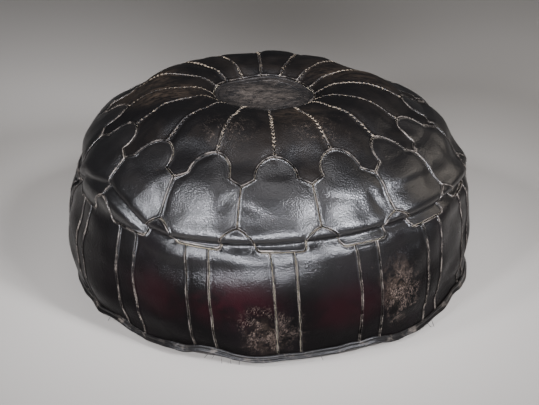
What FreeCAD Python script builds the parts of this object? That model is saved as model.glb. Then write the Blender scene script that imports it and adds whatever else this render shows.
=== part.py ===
import FreeCAD
import Part
import os
import Sketcher

# A stuffed floor pouf in goat leather: a round medallion, petals, scalloped crown panels,
# side panels with a pointed tongue, narrow strips under the crown tabs, a turned hem welt
# and a two-piece base with a zip. Millimetres, +Z up, origin at the centre of the base.

doc = FreeCAD.newDocument("Pouf")
sheet = doc.addObject("Spreadsheet::Sheet", "Sizes")

SIZES = [
    # overall
    ("pouf_diameter", 610, "widest diameter of the stuffed pouf"),
    ("crest_height", 298, "highest ring of the crown above the floor"),
    # half profile, measured in from the widest ring and down from the crest
    ("crest_inset", 168, "widest ring to the crest ring, across"),
    ("crest_radius", 80, "radius of the rounded crest"),
    ("slope_angle", 32, "fall of the crown between the crest and the shoulder, degrees"),
    ("shoulder_radius", 90, "radius of the shoulder that turns down to the rim"),
    ("rim_inset", 13, "widest ring to the rim, where the crown meets the side, across"),
    ("belly_drop", 203, "crest down to the widest ring"),
    ("hem_height", 20, "hem welt above the floor"),
    ("foot_inset", 35, "widest ring to the edge of the flat foot, across"),
    ("medallion_reach", 74, "radius of the central medallion"),
    ("medallion_sink", 9, "crest down to the medallion"),
    # leather and layers
    ("leather", 2, "thickness of the leather"),
    ("seam_gap", 0.6, "space between two panels at a seam"),
    ("lining", 1, "thickness of the cotton liner bag"),
    ("layer_gap", 0.5, "space between two layers"),
    # pattern
    ("panels", 16, "repeats round the pouf"),
    ("scallop_inset", 75, "widest ring to the centre of a scallop, across"),
    ("scallop_radius", 28.4, "radius of a scallop"),
    ("scallop_foot", 86, "where the scallop meets its shoulder, degrees from outward"),
    ("vee_inset", 62, "widest ring to the point between two crown panels, across"),
    ("tab_drop", 122, "crest down to the lower edge of the crown tabs"),
    ("tab_corner", 8, "corner radius of a crown tab"),
    ("tongue_width", 44, "width of a side panel's tongue"),
    ("tongue_spring", 23, "tab edge up to the spring of the tongue's arch"),
    ("tongue_tip", 38, "tab edge up to the tip of the tongue's arch"),
    ("tongue_curve", 40, "radius of each half of the arch"),
    ("strip_width", 32, "width of the narrow strips"),
    # hem welt
    ("welt_height", 5, "thickness of the turned welt"),
    ("welt_reach", 7, "how far the welt stands out of the side"),
    ("welt_chamfer", 1.6, "chamfer on the welt's nose"),
    # zip in the base
    ("zip_length", 380, "length of the zip"),
    ("hollow_radius", 100, "radius of the shallow hollow that the zip lies in"),
    ("hollow_drop", 10, "depth of the hollow"),
    ("hollow_margin", 25, "hollow beyond each end of the zip"),
    ("window", 16, "width of the opening between the base halves at the zip"),
    ("tape_width", 20, "width of one zip tape"),
    ("tape", 0.6, "thickness of the tape"),
    ("tape_gap", 0.3, "space between the tape and the leather"),
    ("tooth_pitch", 4, "spacing of the teeth on one tape"),
    ("tooth_width", 1.5, "tooth along the zip"),
    ("tooth_reach", 4.4, "centre line out to the root of a tooth"),
    ("tooth_lap", 0.9, "how far a tooth passes the centre line"),
    ("tooth_height", 2.5, "tooth, up and down"),
    ("slider_length", 17, "slider along the zip"),
    ("slider_width", 13.6, "slider across the zip"),
    ("slider_plate", 1.2, "thickness of the slider's plates"),
    ("slider_room", 0.8, "space between the teeth and the slider"),
    ("slider_inset", 14, "end of the zip to the middle of the closed slider"),
    ("flange", 1.4, "thickness of the slider's side flanges"),
    ("divider", 3, "width of the wedge that parts the teeth"),
    ("bridge_width", 2.4, "width of the bridge that holds the pull"),
    ("bridge_eye", 2.4, "height of the eye under the bridge"),
    ("bridge_span", 6, "length of the eye"),
    ("bridge_bar", 1.4, "thickness of the bridge"),
    ("pull_length", 26, "crossbar to the tip of the pull"),
    ("pull_width", 7, "width of the pull"),
    ("pull_plate", 1.3, "thickness of the pull and of its crossbar"),
    ("pull_window", 6.4, "length of the window in the pull"),
    ("pull_hole", 2.6, "hole near the tip of the pull"),
]
for row, (name, value, note) in enumerate(SIZES, start=1):
    sheet.set(f"A{row}", name)
    sheet.set(f"B{row}", str(value))
    sheet.set(f"C{row}", note)
    sheet.setAlias(f"B{row}", name)
doc.recompute()

# Places that several pieces share, as expressions on the sheet.
RIM = "(Sizes.pouf_diameter / 2)"
HALF = "(180 / Sizes.panels)"
GAP = "(Sizes.seam_gap / 2)"
BEYOND = f"({RIM} + 20)"
CREST_X = f"({RIM} - Sizes.crest_inset)"
BELLY_Z = "(Sizes.crest_height - Sizes.belly_drop)"
RIM_X = f"({RIM} - Sizes.rim_inset)"
MEDALLION_Z = "(Sizes.crest_height - Sizes.medallion_sink)"
FOOT_X = f"({RIM} - Sizes.foot_inset)"
SCALLOP_X = f"({RIM} - Sizes.scallop_inset)"
VEE_X = f"({RIM} - Sizes.vee_inset)"
TAB_Z = "(Sizes.crest_height - Sizes.tab_drop)"
SIDE_LOW_Z = f"(Sizes.hem_height + Sizes.welt_height / 2 + {GAP})"
BASE_TOP_Z = f"(Sizes.hem_height - Sizes.welt_height / 2 - {GAP})"
# Arc radii of the half profile, each from the points and tangents that it joins.
DIP_R = (f"((({CREST_X} - Sizes.medallion_reach)^2 + Sizes.medallion_sink^2)"
         " / (2 * Sizes.medallion_sink))")
SLOPE_X = f"({CREST_X} + Sizes.crest_radius * sin(Sizes.slope_angle))"
SLOPE_Z = "(Sizes.crest_height - Sizes.crest_radius * (1 - cos(Sizes.slope_angle)))"
RIM_Z = (f"({SLOPE_Z} - (Sizes.shoulder_radius + ({RIM_X} - Sizes.shoulder_radius - {SLOPE_X})"
         " * sin(Sizes.slope_angle)) / cos(Sizes.slope_angle))")
BELLY_R = f"((({RIM_Z} - {BELLY_Z})^2 + Sizes.rim_inset^2) / (2 * Sizes.rim_inset))"
BELLY_DZ = f"({BELLY_Z} - Sizes.hem_height)"
HEM_X = f"({RIM} - {BELLY_R} + sqrt({BELLY_R}^2 - {BELLY_DZ}^2))"
FOOT_DX = f"({HEM_X} - {FOOT_X})"
FOOT_R = f"(({FOOT_DX}^2 + Sizes.hem_height^2) / (2 * Sizes.hem_height))"
# Levels of the zip, on its centre line.
LEATHER_Z = "(Sizes.hollow_drop + Sizes.leather)"
ZIP_Z = f"({LEATHER_Z} + Sizes.tape_gap + Sizes.tape / 2)"
CHANNEL = "(Sizes.tooth_height / 2 + Sizes.slider_room)"
PLATE_Z = f"({ZIP_Z} - {CHANNEL} - Sizes.slider_plate)"
SLIDER_TOP = f"({CHANNEL} + Sizes.slider_plate)"
SLIDER_X = "(Sizes.zip_length / 2 - Sizes.slider_inset)"
EYE_Z = f"({PLATE_Z} - Sizes.bridge_eye / 2)"
LINER_DEEPER = f"({ZIP_Z} + {SLIDER_TOP} + 2 * Sizes.layer_gap - Sizes.hollow_drop)"


def value(expression):
    """Number that an expression on the sheet gives."""
    result = sheet.evalExpression(expression)
    return float(getattr(result, "Value", result))


def bind(thing, **properties):
    """Bind properties to expressions; a double underscore stands for a dot."""
    for name, expression in properties.items():
        thing.setExpression(name.replace("__", "."), expression)


def draw(sketch, corners):
    """Closed outline from corners (x, y) and (x, y, radius, turn).

    A corner with a radius starts an arc to the next corner: turn 1 bends left, -1 right.
    Every corner is placed from the origin, and every radius is bound, by expression.
    """
    points = [FreeCAD.Vector(value(c[0]), value(c[1]), 0) for c in corners]
    starts = []
    first = sketch.GeometryCount
    for index, corner in enumerate(corners):
        start, end = points[index], points[(index + 1) % len(points)]
        if len(corner) == 2:
            sketch.addGeometry(Part.LineSegment(start, end))
            starts.append((1, 2))
            continue
        radius, turn = value(corner[2]), corner[3]
        along = end - start
        across = FreeCAD.Vector(-along.y, along.x, 0).normalize()
        height = (radius ** 2 - (along.Length / 2) ** 2) ** 0.5
        centre = (start + end) / 2 + across * height * turn
        middle = centre - across * radius * turn
        sketch.addGeometry(Part.Arc(start, middle, end))
        starts.append((1, 2) if turn > 0 else (2, 1))
    for index, corner in enumerate(corners):
        geo = first + index
        nxt = first + (index + 1) % len(corners)
        sketch.addConstraint(Sketcher.Constraint(
            "Coincident", geo, starts[index][1], nxt, starts[(index + 1) % len(corners)][0]))
        for kind, axis, expression in (("DistanceX", -2, corner[0]), ("DistanceY", -1, corner[1])):
            if expression == "0":
                sketch.addConstraint(Sketcher.Constraint("PointOnObject", geo, starts[index][0], axis))
                continue
            number = sketch.addConstraint(Sketcher.Constraint(
                kind, -1, 1, geo, starts[index][0], value(expression)))
            sketch.setExpression(f"Constraints[{number}]", expression)
        if len(corner) > 2:
            number = sketch.addConstraint(Sketcher.Constraint("Radius", geo, value(corner[2])))
            sketch.setExpression(f"Constraints[{number}]", corner[2])


def draw_circle(sketch, x, radius):
    """Circle on the sketch's X axis."""
    centre = FreeCAD.Vector(value(x), 0, 0)
    geo = sketch.addGeometry(Part.Circle(centre, FreeCAD.Vector(0, 0, 1), value(radius)))
    number = sketch.addConstraint(Sketcher.Constraint("Radius", geo, value(radius)))
    sketch.setExpression(f"Constraints[{number}]", radius)
    sketch.addConstraint(Sketcher.Constraint("PointOnObject", geo, 3, -1))
    if x == "0":
        sketch.addConstraint(Sketcher.Constraint("PointOnObject", geo, 3, -2))
        return
    number = sketch.addConstraint(Sketcher.Constraint("DistanceX", -1, 1, geo, 3, value(x)))
    sketch.setExpression(f"Constraints[{number}]", x)


def body_sketch(body, name, plane, offset=None):
    """Sketch on one of the body's origin planes, raised along its normal by offset."""
    sketch = body.newObject("Sketcher::SketchObject", name)
    support = [f for f in body.Origin.OriginFeatures if f.Role == plane][0]
    sketch.AttachmentSupport = [(support, "")]
    sketch.MapMode = "FlatFace"
    if offset:
        sketch.setExpression("AttachmentOffset.Base.z", offset)
    return sketch


def pad(body, name, sketch, length, midplane=False):
    feature = body.newObject("PartDesign::Pad", name)
    feature.Profile = sketch
    feature.SideType = "Symmetric" if midplane else "One side"
    feature.setExpression("Length", length)
    return feature


def pocket(body, name, sketch, length, midplane=False):
    """Pocket that is checked to take something away."""
    doc.recompute()
    before = body.Shape.Volume
    feature = body.newObject("PartDesign::Pocket", name)
    feature.Profile = sketch
    feature.SideType = "Symmetric" if midplane else "One side"
    feature.setExpression("Length", length)
    doc.recompute()
    if body.Shape.Volume > before - 1e-3:
        raise RuntimeError(f"{name} cuts nothing")
    return feature


def revolve(body, name, sketch):
    feature = body.newObject("PartDesign::Revolution", name)
    feature.Profile = sketch
    feature.ReferenceAxis = (sketch, ["V_Axis"])
    feature.Angle = 360
    return feature


def boolean(kind, name, base, tool):
    feature = doc.addObject(f"Part::{kind}", name)
    feature.Base = base
    feature.Tool = tool
    return feature


def prism(name, corners, low, high):
    """Upright prism between two heights over a plan outline."""
    sketch = doc.addObject("Sketcher::SketchObject", f"{name}_outline")
    draw(sketch, corners)
    bind(sketch, Placement__Base__z=low)
    solid = doc.addObject("Part::Extrusion", name)
    solid.Base = sketch
    solid.DirMode = "Normal"
    solid.Solid = True
    bind(solid, LengthFwd=f"{high} - {low}")
    return solid


def box(name, low, high):
    """Box between two corners given as expressions."""
    solid = doc.addObject("Part::Box", name)
    bind(solid, Length=f"{high[0]} - ({low[0]})", Width=f"{high[1]} - ({low[1]})",
         Height=f"{high[2]} - ({low[2]})", Placement__Base__x=low[0],
         Placement__Base__y=low[1], Placement__Base__z=low[2])
    return solid


def node(thing, name):
    """Give a sub-part the label that names its file."""
    thing.Label = name
    NODES.append(thing)
    return thing


NODES = []


# ---- the stuffed shape, at any depth under the leather's outer face

def layer(name, inset):
    """Solid of revolution whose half profile lies inset under the leather's outer face."""
    dip, crest = f"({DIP_R} - {inset})", f"(Sizes.crest_radius - {inset})"
    shoulder, belly = f"(Sizes.shoulder_radius - {inset})", f"({BELLY_R} - {inset})"
    corners = [
        ("0", f"{MEDALLION_Z} - {inset}"),
        (f"{CREST_X} - sqrt({dip}^2 - ({dip} - Sizes.medallion_sink)^2)",
         f"{MEDALLION_Z} - {inset}", dip, -1),
        (CREST_X, f"Sizes.crest_height - {inset}", crest, -1),
        (f"{SLOPE_X} - {inset} * sin(Sizes.slope_angle)",
         f"{SLOPE_Z} - {inset} * cos(Sizes.slope_angle)"),
        (f"{RIM_X} - Sizes.shoulder_radius + {shoulder} * sin(Sizes.slope_angle)",
         f"{RIM_Z} + {shoulder} * cos(Sizes.slope_angle)", shoulder, -1),
        (f"{RIM_X} - {inset}", RIM_Z, belly, -1),
        (f"{RIM} - {BELLY_R} + sqrt({belly}^2 - {BELLY_DZ}^2)",
         "Sizes.hem_height", f"{FOOT_R} - {inset}", -1),
        (FOOT_X, inset),
        ("0", inset),
    ]
    body = doc.addObject("PartDesign::Body", name)
    sketch = body_sketch(body, f"{name}_profile", "XZ_Plane")
    draw(sketch, corners)
    revolve(body, f"{name}_turn", sketch)
    return body


def hollowed(name, base, deeper, longer):
    """A layer with the zip's long hollow cut into its foot."""
    roller = doc.addObject("Part::Cylinder", f"{name}_roller")
    roller.Placement.Rotation = FreeCAD.Rotation(FreeCAD.Vector(0, 1, 0), 90)
    half = f"(Sizes.zip_length / 2 + Sizes.hollow_margin + {longer})"
    bind(roller, Radius=f"Sizes.hollow_radius + {deeper}", Height=f"2 * {half}",
         Placement__Base__x=f"-{half}",
         Placement__Base__z="Sizes.hollow_drop - Sizes.hollow_radius")
    return boolean("Cut", name, base, roller)


LINER_OUT = "(Sizes.leather + Sizes.layer_gap)"
LINER_IN = f"({LINER_OUT} + Sizes.lining)"
FILL_OUT = f"({LINER_IN} + Sizes.layer_gap)"

outer_form = layer("outer_form", "0.0")
inner_form = layer("inner_form", "Sizes.leather")
skin = boolean("Cut", "skin", outer_form, inner_form)
base_skin = boolean("Cut", "base_skin", hollowed("outer_hollow", outer_form, "0.0", "0.0"),
                    hollowed("inner_hollow", inner_form, "Sizes.leather", "Sizes.leather"))


# ---- pattern outlines

def off_seam(along, across, side):
    """Point by its distance along a line at half a repeat and across it, towards the middle."""
    x = f"({along}) * cos({HALF}) + ({across}) * sin({HALF})"
    y = f"({along}) * sin({HALF}) - ({across}) * cos({HALF})"
    return x, y if side > 0 else f"-({y})"


def petal_outline():
    """Petal along X: medallion, two radial seams, a scallop bite each side and a point."""
    bite = f"(Sizes.scallop_radius + {GAP})"
    inner = f"(Sizes.medallion_reach + {GAP})"
    angle = "(Sizes.scallop_foot + Sizes.seam_gap / Sizes.scallop_radius * 180 / pi)"
    foot = (f"{SCALLOP_X} + {bite} * cos({angle})", f"{bite} * sin({angle})")
    root = f"sqrt({inner}^2 - {GAP}^2)"
    top = f"{SCALLOP_X} - sqrt({bite}^2 - {GAP}^2)"
    return [
        off_seam(root, GAP, -1),
        off_seam(top, GAP, -1) + (bite, -1),
        off_seam(*foot, -1),
        (f"{VEE_X} - 2 * {GAP}", "0"),
        off_seam(*foot, 1) + (bite, -1),
        off_seam(top, GAP, 1),
        off_seam(root, GAP, 1) + (inner, -1),
    ]


def crown_outline():
    """Crown panel along X: scallop, two shoulders, and straight sides out past the rim."""
    lobe = f"(Sizes.scallop_radius - {GAP})"
    foot_x = f"{SCALLOP_X} + {lobe} * cos(Sizes.scallop_foot)"
    foot_y = f"{lobe} * sin(Sizes.scallop_foot)"
    return [
        off_seam(f"{VEE_X} + {GAP}", GAP, 1),
        (foot_x, foot_y, lobe, 1),
        (f"{SCALLOP_X} - {lobe}", "0", lobe, 1),
        (foot_x, f"-{foot_y}"),
        off_seam(f"{VEE_X} + {GAP}", GAP, -1),
        off_seam(BEYOND, GAP, -1),
        off_seam(BEYOND, GAP, 1),
    ]


def side_outline():
    """Side panel along X, between two strips."""
    edge = f"Sizes.strip_width / 2 + {GAP}"
    inside = f"({RIM} - 80)"
    return [off_seam(inside, edge, 1), off_seam(inside, edge, -1),
            off_seam(BEYOND, edge, -1), off_seam(BEYOND, edge, 1)]


def tongue(name, grow, skirt):
    """Tongue with flared feet and a pointed arch, along X, grown all round by grow."""
    half = f"(Sizes.tongue_width / 2 + {grow})"
    flare = f"(Sizes.tab_corner - {grow})"
    corner_x = "(Sizes.tongue_width / 2 + Sizes.tab_corner)"
    spring, tip = f"{TAB_Z} + Sizes.tongue_spring", f"{TAB_Z} + Sizes.tongue_tip + {grow}"
    foot_z, neck_z = f"{TAB_Z} + {grow}", f"{TAB_Z} + Sizes.tab_corner"
    curve = f"Sizes.tongue_curve + {grow}"
    corners = [
        (f"-{corner_x}", f"{foot_z} - {skirt}"),
        (corner_x, f"{foot_z} - {skirt}"),
        (corner_x, foot_z, flare, -1),
        (half, neck_z),
        (half, spring, curve, 1),
        ("0", tip, curve, 1),
        (f"-{half}", spring),
        (f"-{half}", neck_z, flare, -1),
        (f"-{corner_x}", foot_z),
    ]
    sketch = doc.addObject("Sketcher::SketchObject", f"{name}_outline")
    sketch.Placement.Rotation = FreeCAD.Rotation(FreeCAD.Vector(1, 1, 1), 120)
    draw(sketch, corners)
    solid = doc.addObject("Part::Extrusion", name)
    solid.Base = sketch
    solid.DirMode = "Normal"
    solid.Solid = True
    bind(solid, LengthFwd=BEYOND)
    return solid


ABOVE = "(Sizes.crest_height + 20)"
TURN = "360 / Sizes.panels"


def turned(thing, turns):
    """Turn a piece about Z by a number of repeats."""
    thing.Placement.Rotation = FreeCAD.Rotation(FreeCAD.Vector(0, 0, 1), 1)
    bind(thing, Placement__Rotation__Angle=f"{turns} * {TURN}")
    return thing


petal_tool = prism("petal_tool", petal_outline(), RIM_Z, ABOVE)
crown_block = prism("crown_block", crown_outline(), f"({TAB_Z} + {GAP})", ABOVE)
tongue_cut = tongue("tongue_cut", GAP, "1")
cut_left = turned(boolean("Common", "cut_left", tongue_cut, skin), 0.5)
cut_right = turned(boolean("Common", "cut_right", tongue_cut, skin), -0.5)
crown_half = boolean("Cut", "crown_half", crown_block, cut_left)
crown_tool = boolean("Cut", "crown_tool", crown_half, cut_right)
side_block = prism("side_block", side_outline(), SIDE_LOW_Z, f"({TAB_Z} - {GAP})")
side_tool = boolean("Fuse", "side_tool", side_block, tongue("side_tongue", f"(0 - {GAP})", "1"))
strip_tool = box("strip_tool", (f"{RIM} - 80", f"-(Sizes.strip_width / 2 - {GAP})", SIDE_LOW_Z),
                 (BEYOND, f"(Sizes.strip_width / 2 - {GAP})", f"({TAB_Z} - {GAP})"))


# ---- the leather cover

def medallion():
    """Flat disc with a shallow ring pressed into its edge."""
    body = doc.addObject("PartDesign::Body", "medallion")
    disc = body_sketch(body, "medallion_disc", "XY_Plane", f"{MEDALLION_Z} - Sizes.leather")
    draw_circle(disc, "0", f"Sizes.medallion_reach - {GAP}")
    pad(body, "medallion_pad", disc, "Sizes.leather")
    return node(body, "medallion")


def cover_panels():
    count = int(value("Sizes.panels"))
    for index in range(count):
        number = f"{index + 1:02d}"
        petal = turned(boolean("Common", f"petal_{number}", skin, petal_tool), index + 0.5)
        crown = turned(boolean("Common", f"crown_panel_{number}", skin, crown_tool), index)
        side = turned(boolean("Common", f"side_panel_{number}", skin, side_tool), index + 0.5)
        node(petal, f"petal_{number}")
        node(crown, f"crown_panel_{number}")
        node(side, f"side_panel_{number}")
    strips = doc.addObject("Part::Compound", "side_strips")
    strips.Links = [turned(boolean("Common", f"strip_{index + 1:02d}", skin, strip_tool), index)
                    for index in range(count)]
    node(strips, "side_strips")


def hem_welt():
    """Turned flange between the side and the base, with a chamfered nose."""
    low = "(Sizes.hem_height - Sizes.welt_height / 2)"
    high = "(Sizes.hem_height + Sizes.welt_height / 2)"
    root = f"({HEM_X} - Sizes.leather / 2)"
    edge = f"({HEM_X} + Sizes.welt_reach)"
    nose = f"({edge} - Sizes.welt_chamfer)"
    body = doc.addObject("PartDesign::Body", "hem_welt")
    sketch = body_sketch(body, "welt_section", "XZ_Plane")
    draw(sketch, [(root, low), (nose, low), (edge, f"{low} + Sizes.welt_chamfer"),
                  (edge, f"{high} - Sizes.welt_chamfer"), (nose, high), (root, high)])
    revolve(body, "welt_turn", sketch)
    return node(body, "hem_welt")


def base_halves():
    """Base leather on each side of the zip, split by a seam beyond its ends."""
    reach = "Sizes.zip_length / 2"
    gate = box("zip_gate", (f"-{reach}", "-Sizes.window / 2", "-1"),
               (reach, "Sizes.window / 2", f"{LEATHER_Z} + 1"))
    for name, low, high in (("base_half_front", f"-{BEYOND}", f"-{GAP}"),
                            ("base_half_back", GAP, BEYOND)):
        block = box(f"{name}_block", (f"-{BEYOND}", low, "-1"), (BEYOND, high, BASE_TOP_Z))
        gated = boolean("Cut", f"{name}_gated", block, gate)
        node(boolean("Common", name, base_skin, gated), name)


def inside():
    """Cotton liner bag and the wadding in it."""
    bag_out = hollowed("bag_out", layer("bag_out_form", LINER_OUT), LINER_DEEPER, LINER_OUT)
    bag_in = hollowed("bag_in", layer("bag_in_form", LINER_IN),
                      f"{LINER_DEEPER} + Sizes.lining", LINER_IN)
    node(boolean("Cut", "liner", bag_out, bag_in), "liner")
    node(hollowed("fill", layer("fill_form", FILL_OUT),
                  f"{LINER_DEEPER} + Sizes.lining + Sizes.layer_gap", FILL_OUT), "fill")


# ---- the zip

def zip_tapes():
    """Two tapes that follow the hollow, each sewn behind one base half."""
    depth = "(Sizes.leather + Sizes.tape_gap)"
    rollers = []
    for name, extra in (("tape_roller_in", depth), ("tape_roller_out", f"({depth} + Sizes.tape)")):
        roller = doc.addObject("Part::Cylinder", name)
        roller.Placement.Rotation = FreeCAD.Rotation(FreeCAD.Vector(0, 1, 0), 90)
        bind(roller, Radius=f"Sizes.hollow_radius + {extra}", Height="Sizes.zip_length",
             Placement__Base__x="-Sizes.zip_length / 2",
             Placement__Base__z="Sizes.hollow_drop - Sizes.hollow_radius")
        rollers.append(roller)
    shell = boolean("Cut", "tape_shell", rollers[1], rollers[0])
    near, far = "(Sizes.tooth_reach + 0.2)", "(Sizes.tooth_reach + 0.2 + Sizes.tape_width)"
    tapes = []
    for name, low, high in (("tape_front", f"-{far}", f"-{near}"), ("tape_back", near, far)):
        strip = box(f"{name}_strip", (f"-{BEYOND}", low, "0.0"), (BEYOND, high, f"{ZIP_Z} + 5"))
        tapes.append(boolean("Common", name, shell, strip))
    pair = doc.addObject("Part::Compound", "zip_tapes")
    pair.Links = tapes
    return node(pair, "zip_tapes")


def tooth_outline(shift, side):
    """Plan of one tooth, from its root on the tape to its rounded head past the centre line."""
    half = "Sizes.tooth_width / 2"
    root, head = f"{-side} * Sizes.tooth_reach", f"{side} * Sizes.tooth_lap"
    corners = [(f"{shift} - {half}", root), (f"{shift} + {half}", root),
               (f"{shift} + {half}", head), (f"{shift} - {half}", head)]
    return corners if side > 0 else corners[::-1]


def zip_teeth():
    """Two meshed rows of brass teeth, up to the slider's wedge."""
    body = doc.addObject("PartDesign::Body", "zip_teeth")
    start = "(Sizes.tooth_pitch - Sizes.zip_length / 2)"
    sketch = body_sketch(body, "tooth_pair", "XY_Plane", f"{ZIP_Z} - Sizes.tooth_height / 2")
    draw(sketch, tooth_outline(start, 1))
    draw(sketch, tooth_outline(f"({start} + Sizes.tooth_pitch / 2)", -1))
    first = pad(body, "tooth_pad", sketch, "Sizes.tooth_height")
    row = body.newObject("PartDesign::LinearPattern", "tooth_row")
    row.Originals = [first]
    row.Direction = (sketch, ["H_Axis"])
    count = f"floor(({SLIDER_X} - {start} - Sizes.tooth_pitch) / Sizes.tooth_pitch)"
    row.setExpression("Occurrences", f"{count} + 1")
    row.setExpression("Length", f"{count} * Sizes.tooth_pitch")
    body.Tip = row
    return node(body, "zip_teeth")


def zip_stops():
    """Two stops at the closed end, one on each tape, and one across the other end."""
    low, high = f"{ZIP_Z} - Sizes.tooth_height / 2", f"{ZIP_Z} + Sizes.tooth_height / 2"
    near = f"{SLIDER_X} + Sizes.slider_length / 2 + Sizes.slider_room / 2"
    end = "(Sizes.zip_length / 2 - Sizes.layer_gap)"
    clip = "(Sizes.tooth_pitch * 0.6)"
    stops = doc.addObject("Part::Compound", "zip_stops")
    stops.Links = [
        box("stop_front", (near, "-Sizes.tooth_reach", low),
            (f"{near} + {clip}", "-Sizes.tooth_lap / 2", high)),
        box("stop_back", (near, "Sizes.tooth_lap / 2", low),
            (f"{near} + {clip}", "Sizes.tooth_reach", high)),
        box("stop_end", (f"-{end}", "-Sizes.tooth_reach", low),
            (f"-{end} + {clip}", "Sizes.tooth_reach", high)),
    ]
    return node(stops, "zip_stops")


def rectangle(x_low, x_high, y_low, y_high):
    return [(x_low, y_low), (x_high, y_low), (x_high, y_high), (x_low, y_high)]


def zip_slider():
    """Cast slider: two plates with side flanges, a wedge at the front and a bridge below."""
    body = doc.addObject("PartDesign::Body", "zip_slider")
    tail = f"({SLIDER_X} - Sizes.slider_length / 2)"
    nose = f"({SLIDER_X} + Sizes.slider_length / 2)"
    half = "(Sizes.slider_width / 2)"
    slim = f"({half} * 0.7)"
    plan = body_sketch(body, "slider_plan", "XY_Plane", PLATE_Z)
    draw(plan, [(tail, f"-{slim}"), (SLIDER_X, f"-{half}"), (nose, f"-{half}"), (nose, half),
                (SLIDER_X, half), (tail, slim)])
    pad(body, "slider_block", plan, f"2 * {SLIDER_TOP}")
    # The channel for the teeth runs right through, and leaves the wedge standing.
    channel = body_sketch(body, "slider_channel", "XY_Plane", f"{ZIP_Z} + {CHANNEL}")
    edge = f"({half} - Sizes.flange)"
    narrow = "(Sizes.tooth_reach + Sizes.slider_room * 0.3)"
    wedge = "Sizes.divider / 2"
    draw(channel, [(f"{tail} - 1", f"-{narrow}"), (f"{nose} + 1", f"-{edge}"),
                   (f"{nose} + 1", edge), (f"{tail} - 1", narrow)])
    draw(channel, [(f"{nose} - 5.5", "0"), (f"{nose} - 2", wedge), (f"{nose} - 1", "0"),
                   (f"{nose} - 2", f"-{wedge}")])
    pocket(body, "slider_channel_cut", channel, f"2 * {CHANNEL}")
    # A slot in each flange lets the tape through.
    slots = body_sketch(body, "slider_slots", "YZ_Plane", SLIDER_X)
    slot_low, slot_high = f"{ZIP_Z} - 0.9", f"{ZIP_Z} + 0.8"
    inner = "(Sizes.tooth_reach * 0.9)"
    draw(slots, rectangle(inner, f"{half} + 1", slot_low, slot_high))
    draw(slots, rectangle(f"-{half} - 1", f"-{inner}", slot_low, slot_high))
    pocket(body, "slider_slot_cut", slots, "2 * Sizes.slider_length", midplane=True)
    bridge = body_sketch(body, "slider_bridge", "XZ_Plane")
    arm = "(Sizes.bridge_span / 2)"
    out = f"({arm} + Sizes.bridge_bar)"
    eye_low = f"({PLATE_Z} - Sizes.bridge_eye)"
    low = f"({eye_low} - Sizes.bridge_bar)"
    draw(bridge, [
        (f"{SLIDER_X} - {out}", PLATE_Z), (f"{SLIDER_X} - {out}", low),
        (f"{SLIDER_X} + {out}", low), (f"{SLIDER_X} + {out}", PLATE_Z),
        (f"{SLIDER_X} + {arm}", PLATE_Z), (f"{SLIDER_X} + {arm}", eye_low),
        (f"{SLIDER_X} - {arm}", eye_low), (f"{SLIDER_X} - {arm}", PLATE_Z)])
    pad(body, "slider_bridge_pad", bridge, "Sizes.bridge_width", midplane=True)
    return node(body, "zip_slider")


def zip_pull():
    """Flat pull whose crossbar turns in the bridge's eye, folded back along the zip."""
    body = doc.addObject("PartDesign::Body", "zip_pull")
    half = "(Sizes.pull_width / 2)"
    bar = "(Sizes.pull_plate / 2)"
    tip = f"({SLIDER_X} - Sizes.pull_length)"
    plan = body_sketch(body, "pull_plan", "XY_Plane", f"{EYE_Z} - {bar}")
    draw(plan, [
        (f"{SLIDER_X} + {bar}", half), (f"{tip} + {half}", half, half, 1),
        (tip, "0", half, 1), (f"{tip} + {half}", f"-{half}"), (f"{SLIDER_X} + {bar}", f"-{half}")])
    slit = "(Sizes.bridge_width / 2 + 0.4)"
    draw(plan, rectangle(f"{SLIDER_X} - {bar} - Sizes.pull_window", f"{SLIDER_X} - {bar}",
                         f"-{slit}", slit))
    draw_circle(plan, f"{tip} + {half}", "Sizes.pull_hole / 2")
    pad(body, "pull_pad", plan, "Sizes.pull_plate")
    return node(body, "zip_pull")


medallion()
cover_panels()
hem_welt()
base_halves()
inside()
zip_tapes()
zip_teeth()
zip_stops()
zip_slider()
zip_pull()
doc.recompute()

# ---- checks, then one file for each sub-part

for thing in doc.Objects:
    if "Invalid" in thing.State or "Error" in thing.State:
        raise RuntimeError(f"{thing.Name} ({thing.Label}) failed: {thing.State}")
for thing in NODES:
    shape = thing.Shape
    if shape.isNull() or not shape.isValid() or not shape.Solids:
        raise RuntimeError(f"{thing.Label} has no valid solid")
if len(NODES) > 60:
    raise RuntimeError("more than 60 sub-parts")

os.makedirs("parts", exist_ok=True)
for thing in NODES:
    thing.Shape.exportStep(f"parts/{thing.Label}.step")
print(f"{len(NODES)} sub-parts written")
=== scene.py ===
import math

import bpy
import numpy as np
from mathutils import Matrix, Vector
from mathutils.geometry import delaunay_2d_cdt
from mathutils.kdtree import KDTree


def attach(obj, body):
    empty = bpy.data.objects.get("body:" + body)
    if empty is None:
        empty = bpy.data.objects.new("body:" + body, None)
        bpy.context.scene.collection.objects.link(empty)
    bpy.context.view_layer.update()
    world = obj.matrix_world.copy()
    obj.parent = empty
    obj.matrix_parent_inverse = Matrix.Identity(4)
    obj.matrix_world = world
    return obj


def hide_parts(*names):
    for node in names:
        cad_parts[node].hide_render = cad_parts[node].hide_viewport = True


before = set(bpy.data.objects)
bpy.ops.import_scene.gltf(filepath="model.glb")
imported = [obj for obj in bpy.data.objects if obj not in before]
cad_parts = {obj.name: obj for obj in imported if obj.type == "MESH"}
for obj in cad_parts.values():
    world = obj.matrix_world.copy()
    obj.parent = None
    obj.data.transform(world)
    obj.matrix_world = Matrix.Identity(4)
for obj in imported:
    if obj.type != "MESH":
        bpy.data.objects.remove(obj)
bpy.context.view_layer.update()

mm = 0.001

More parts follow.
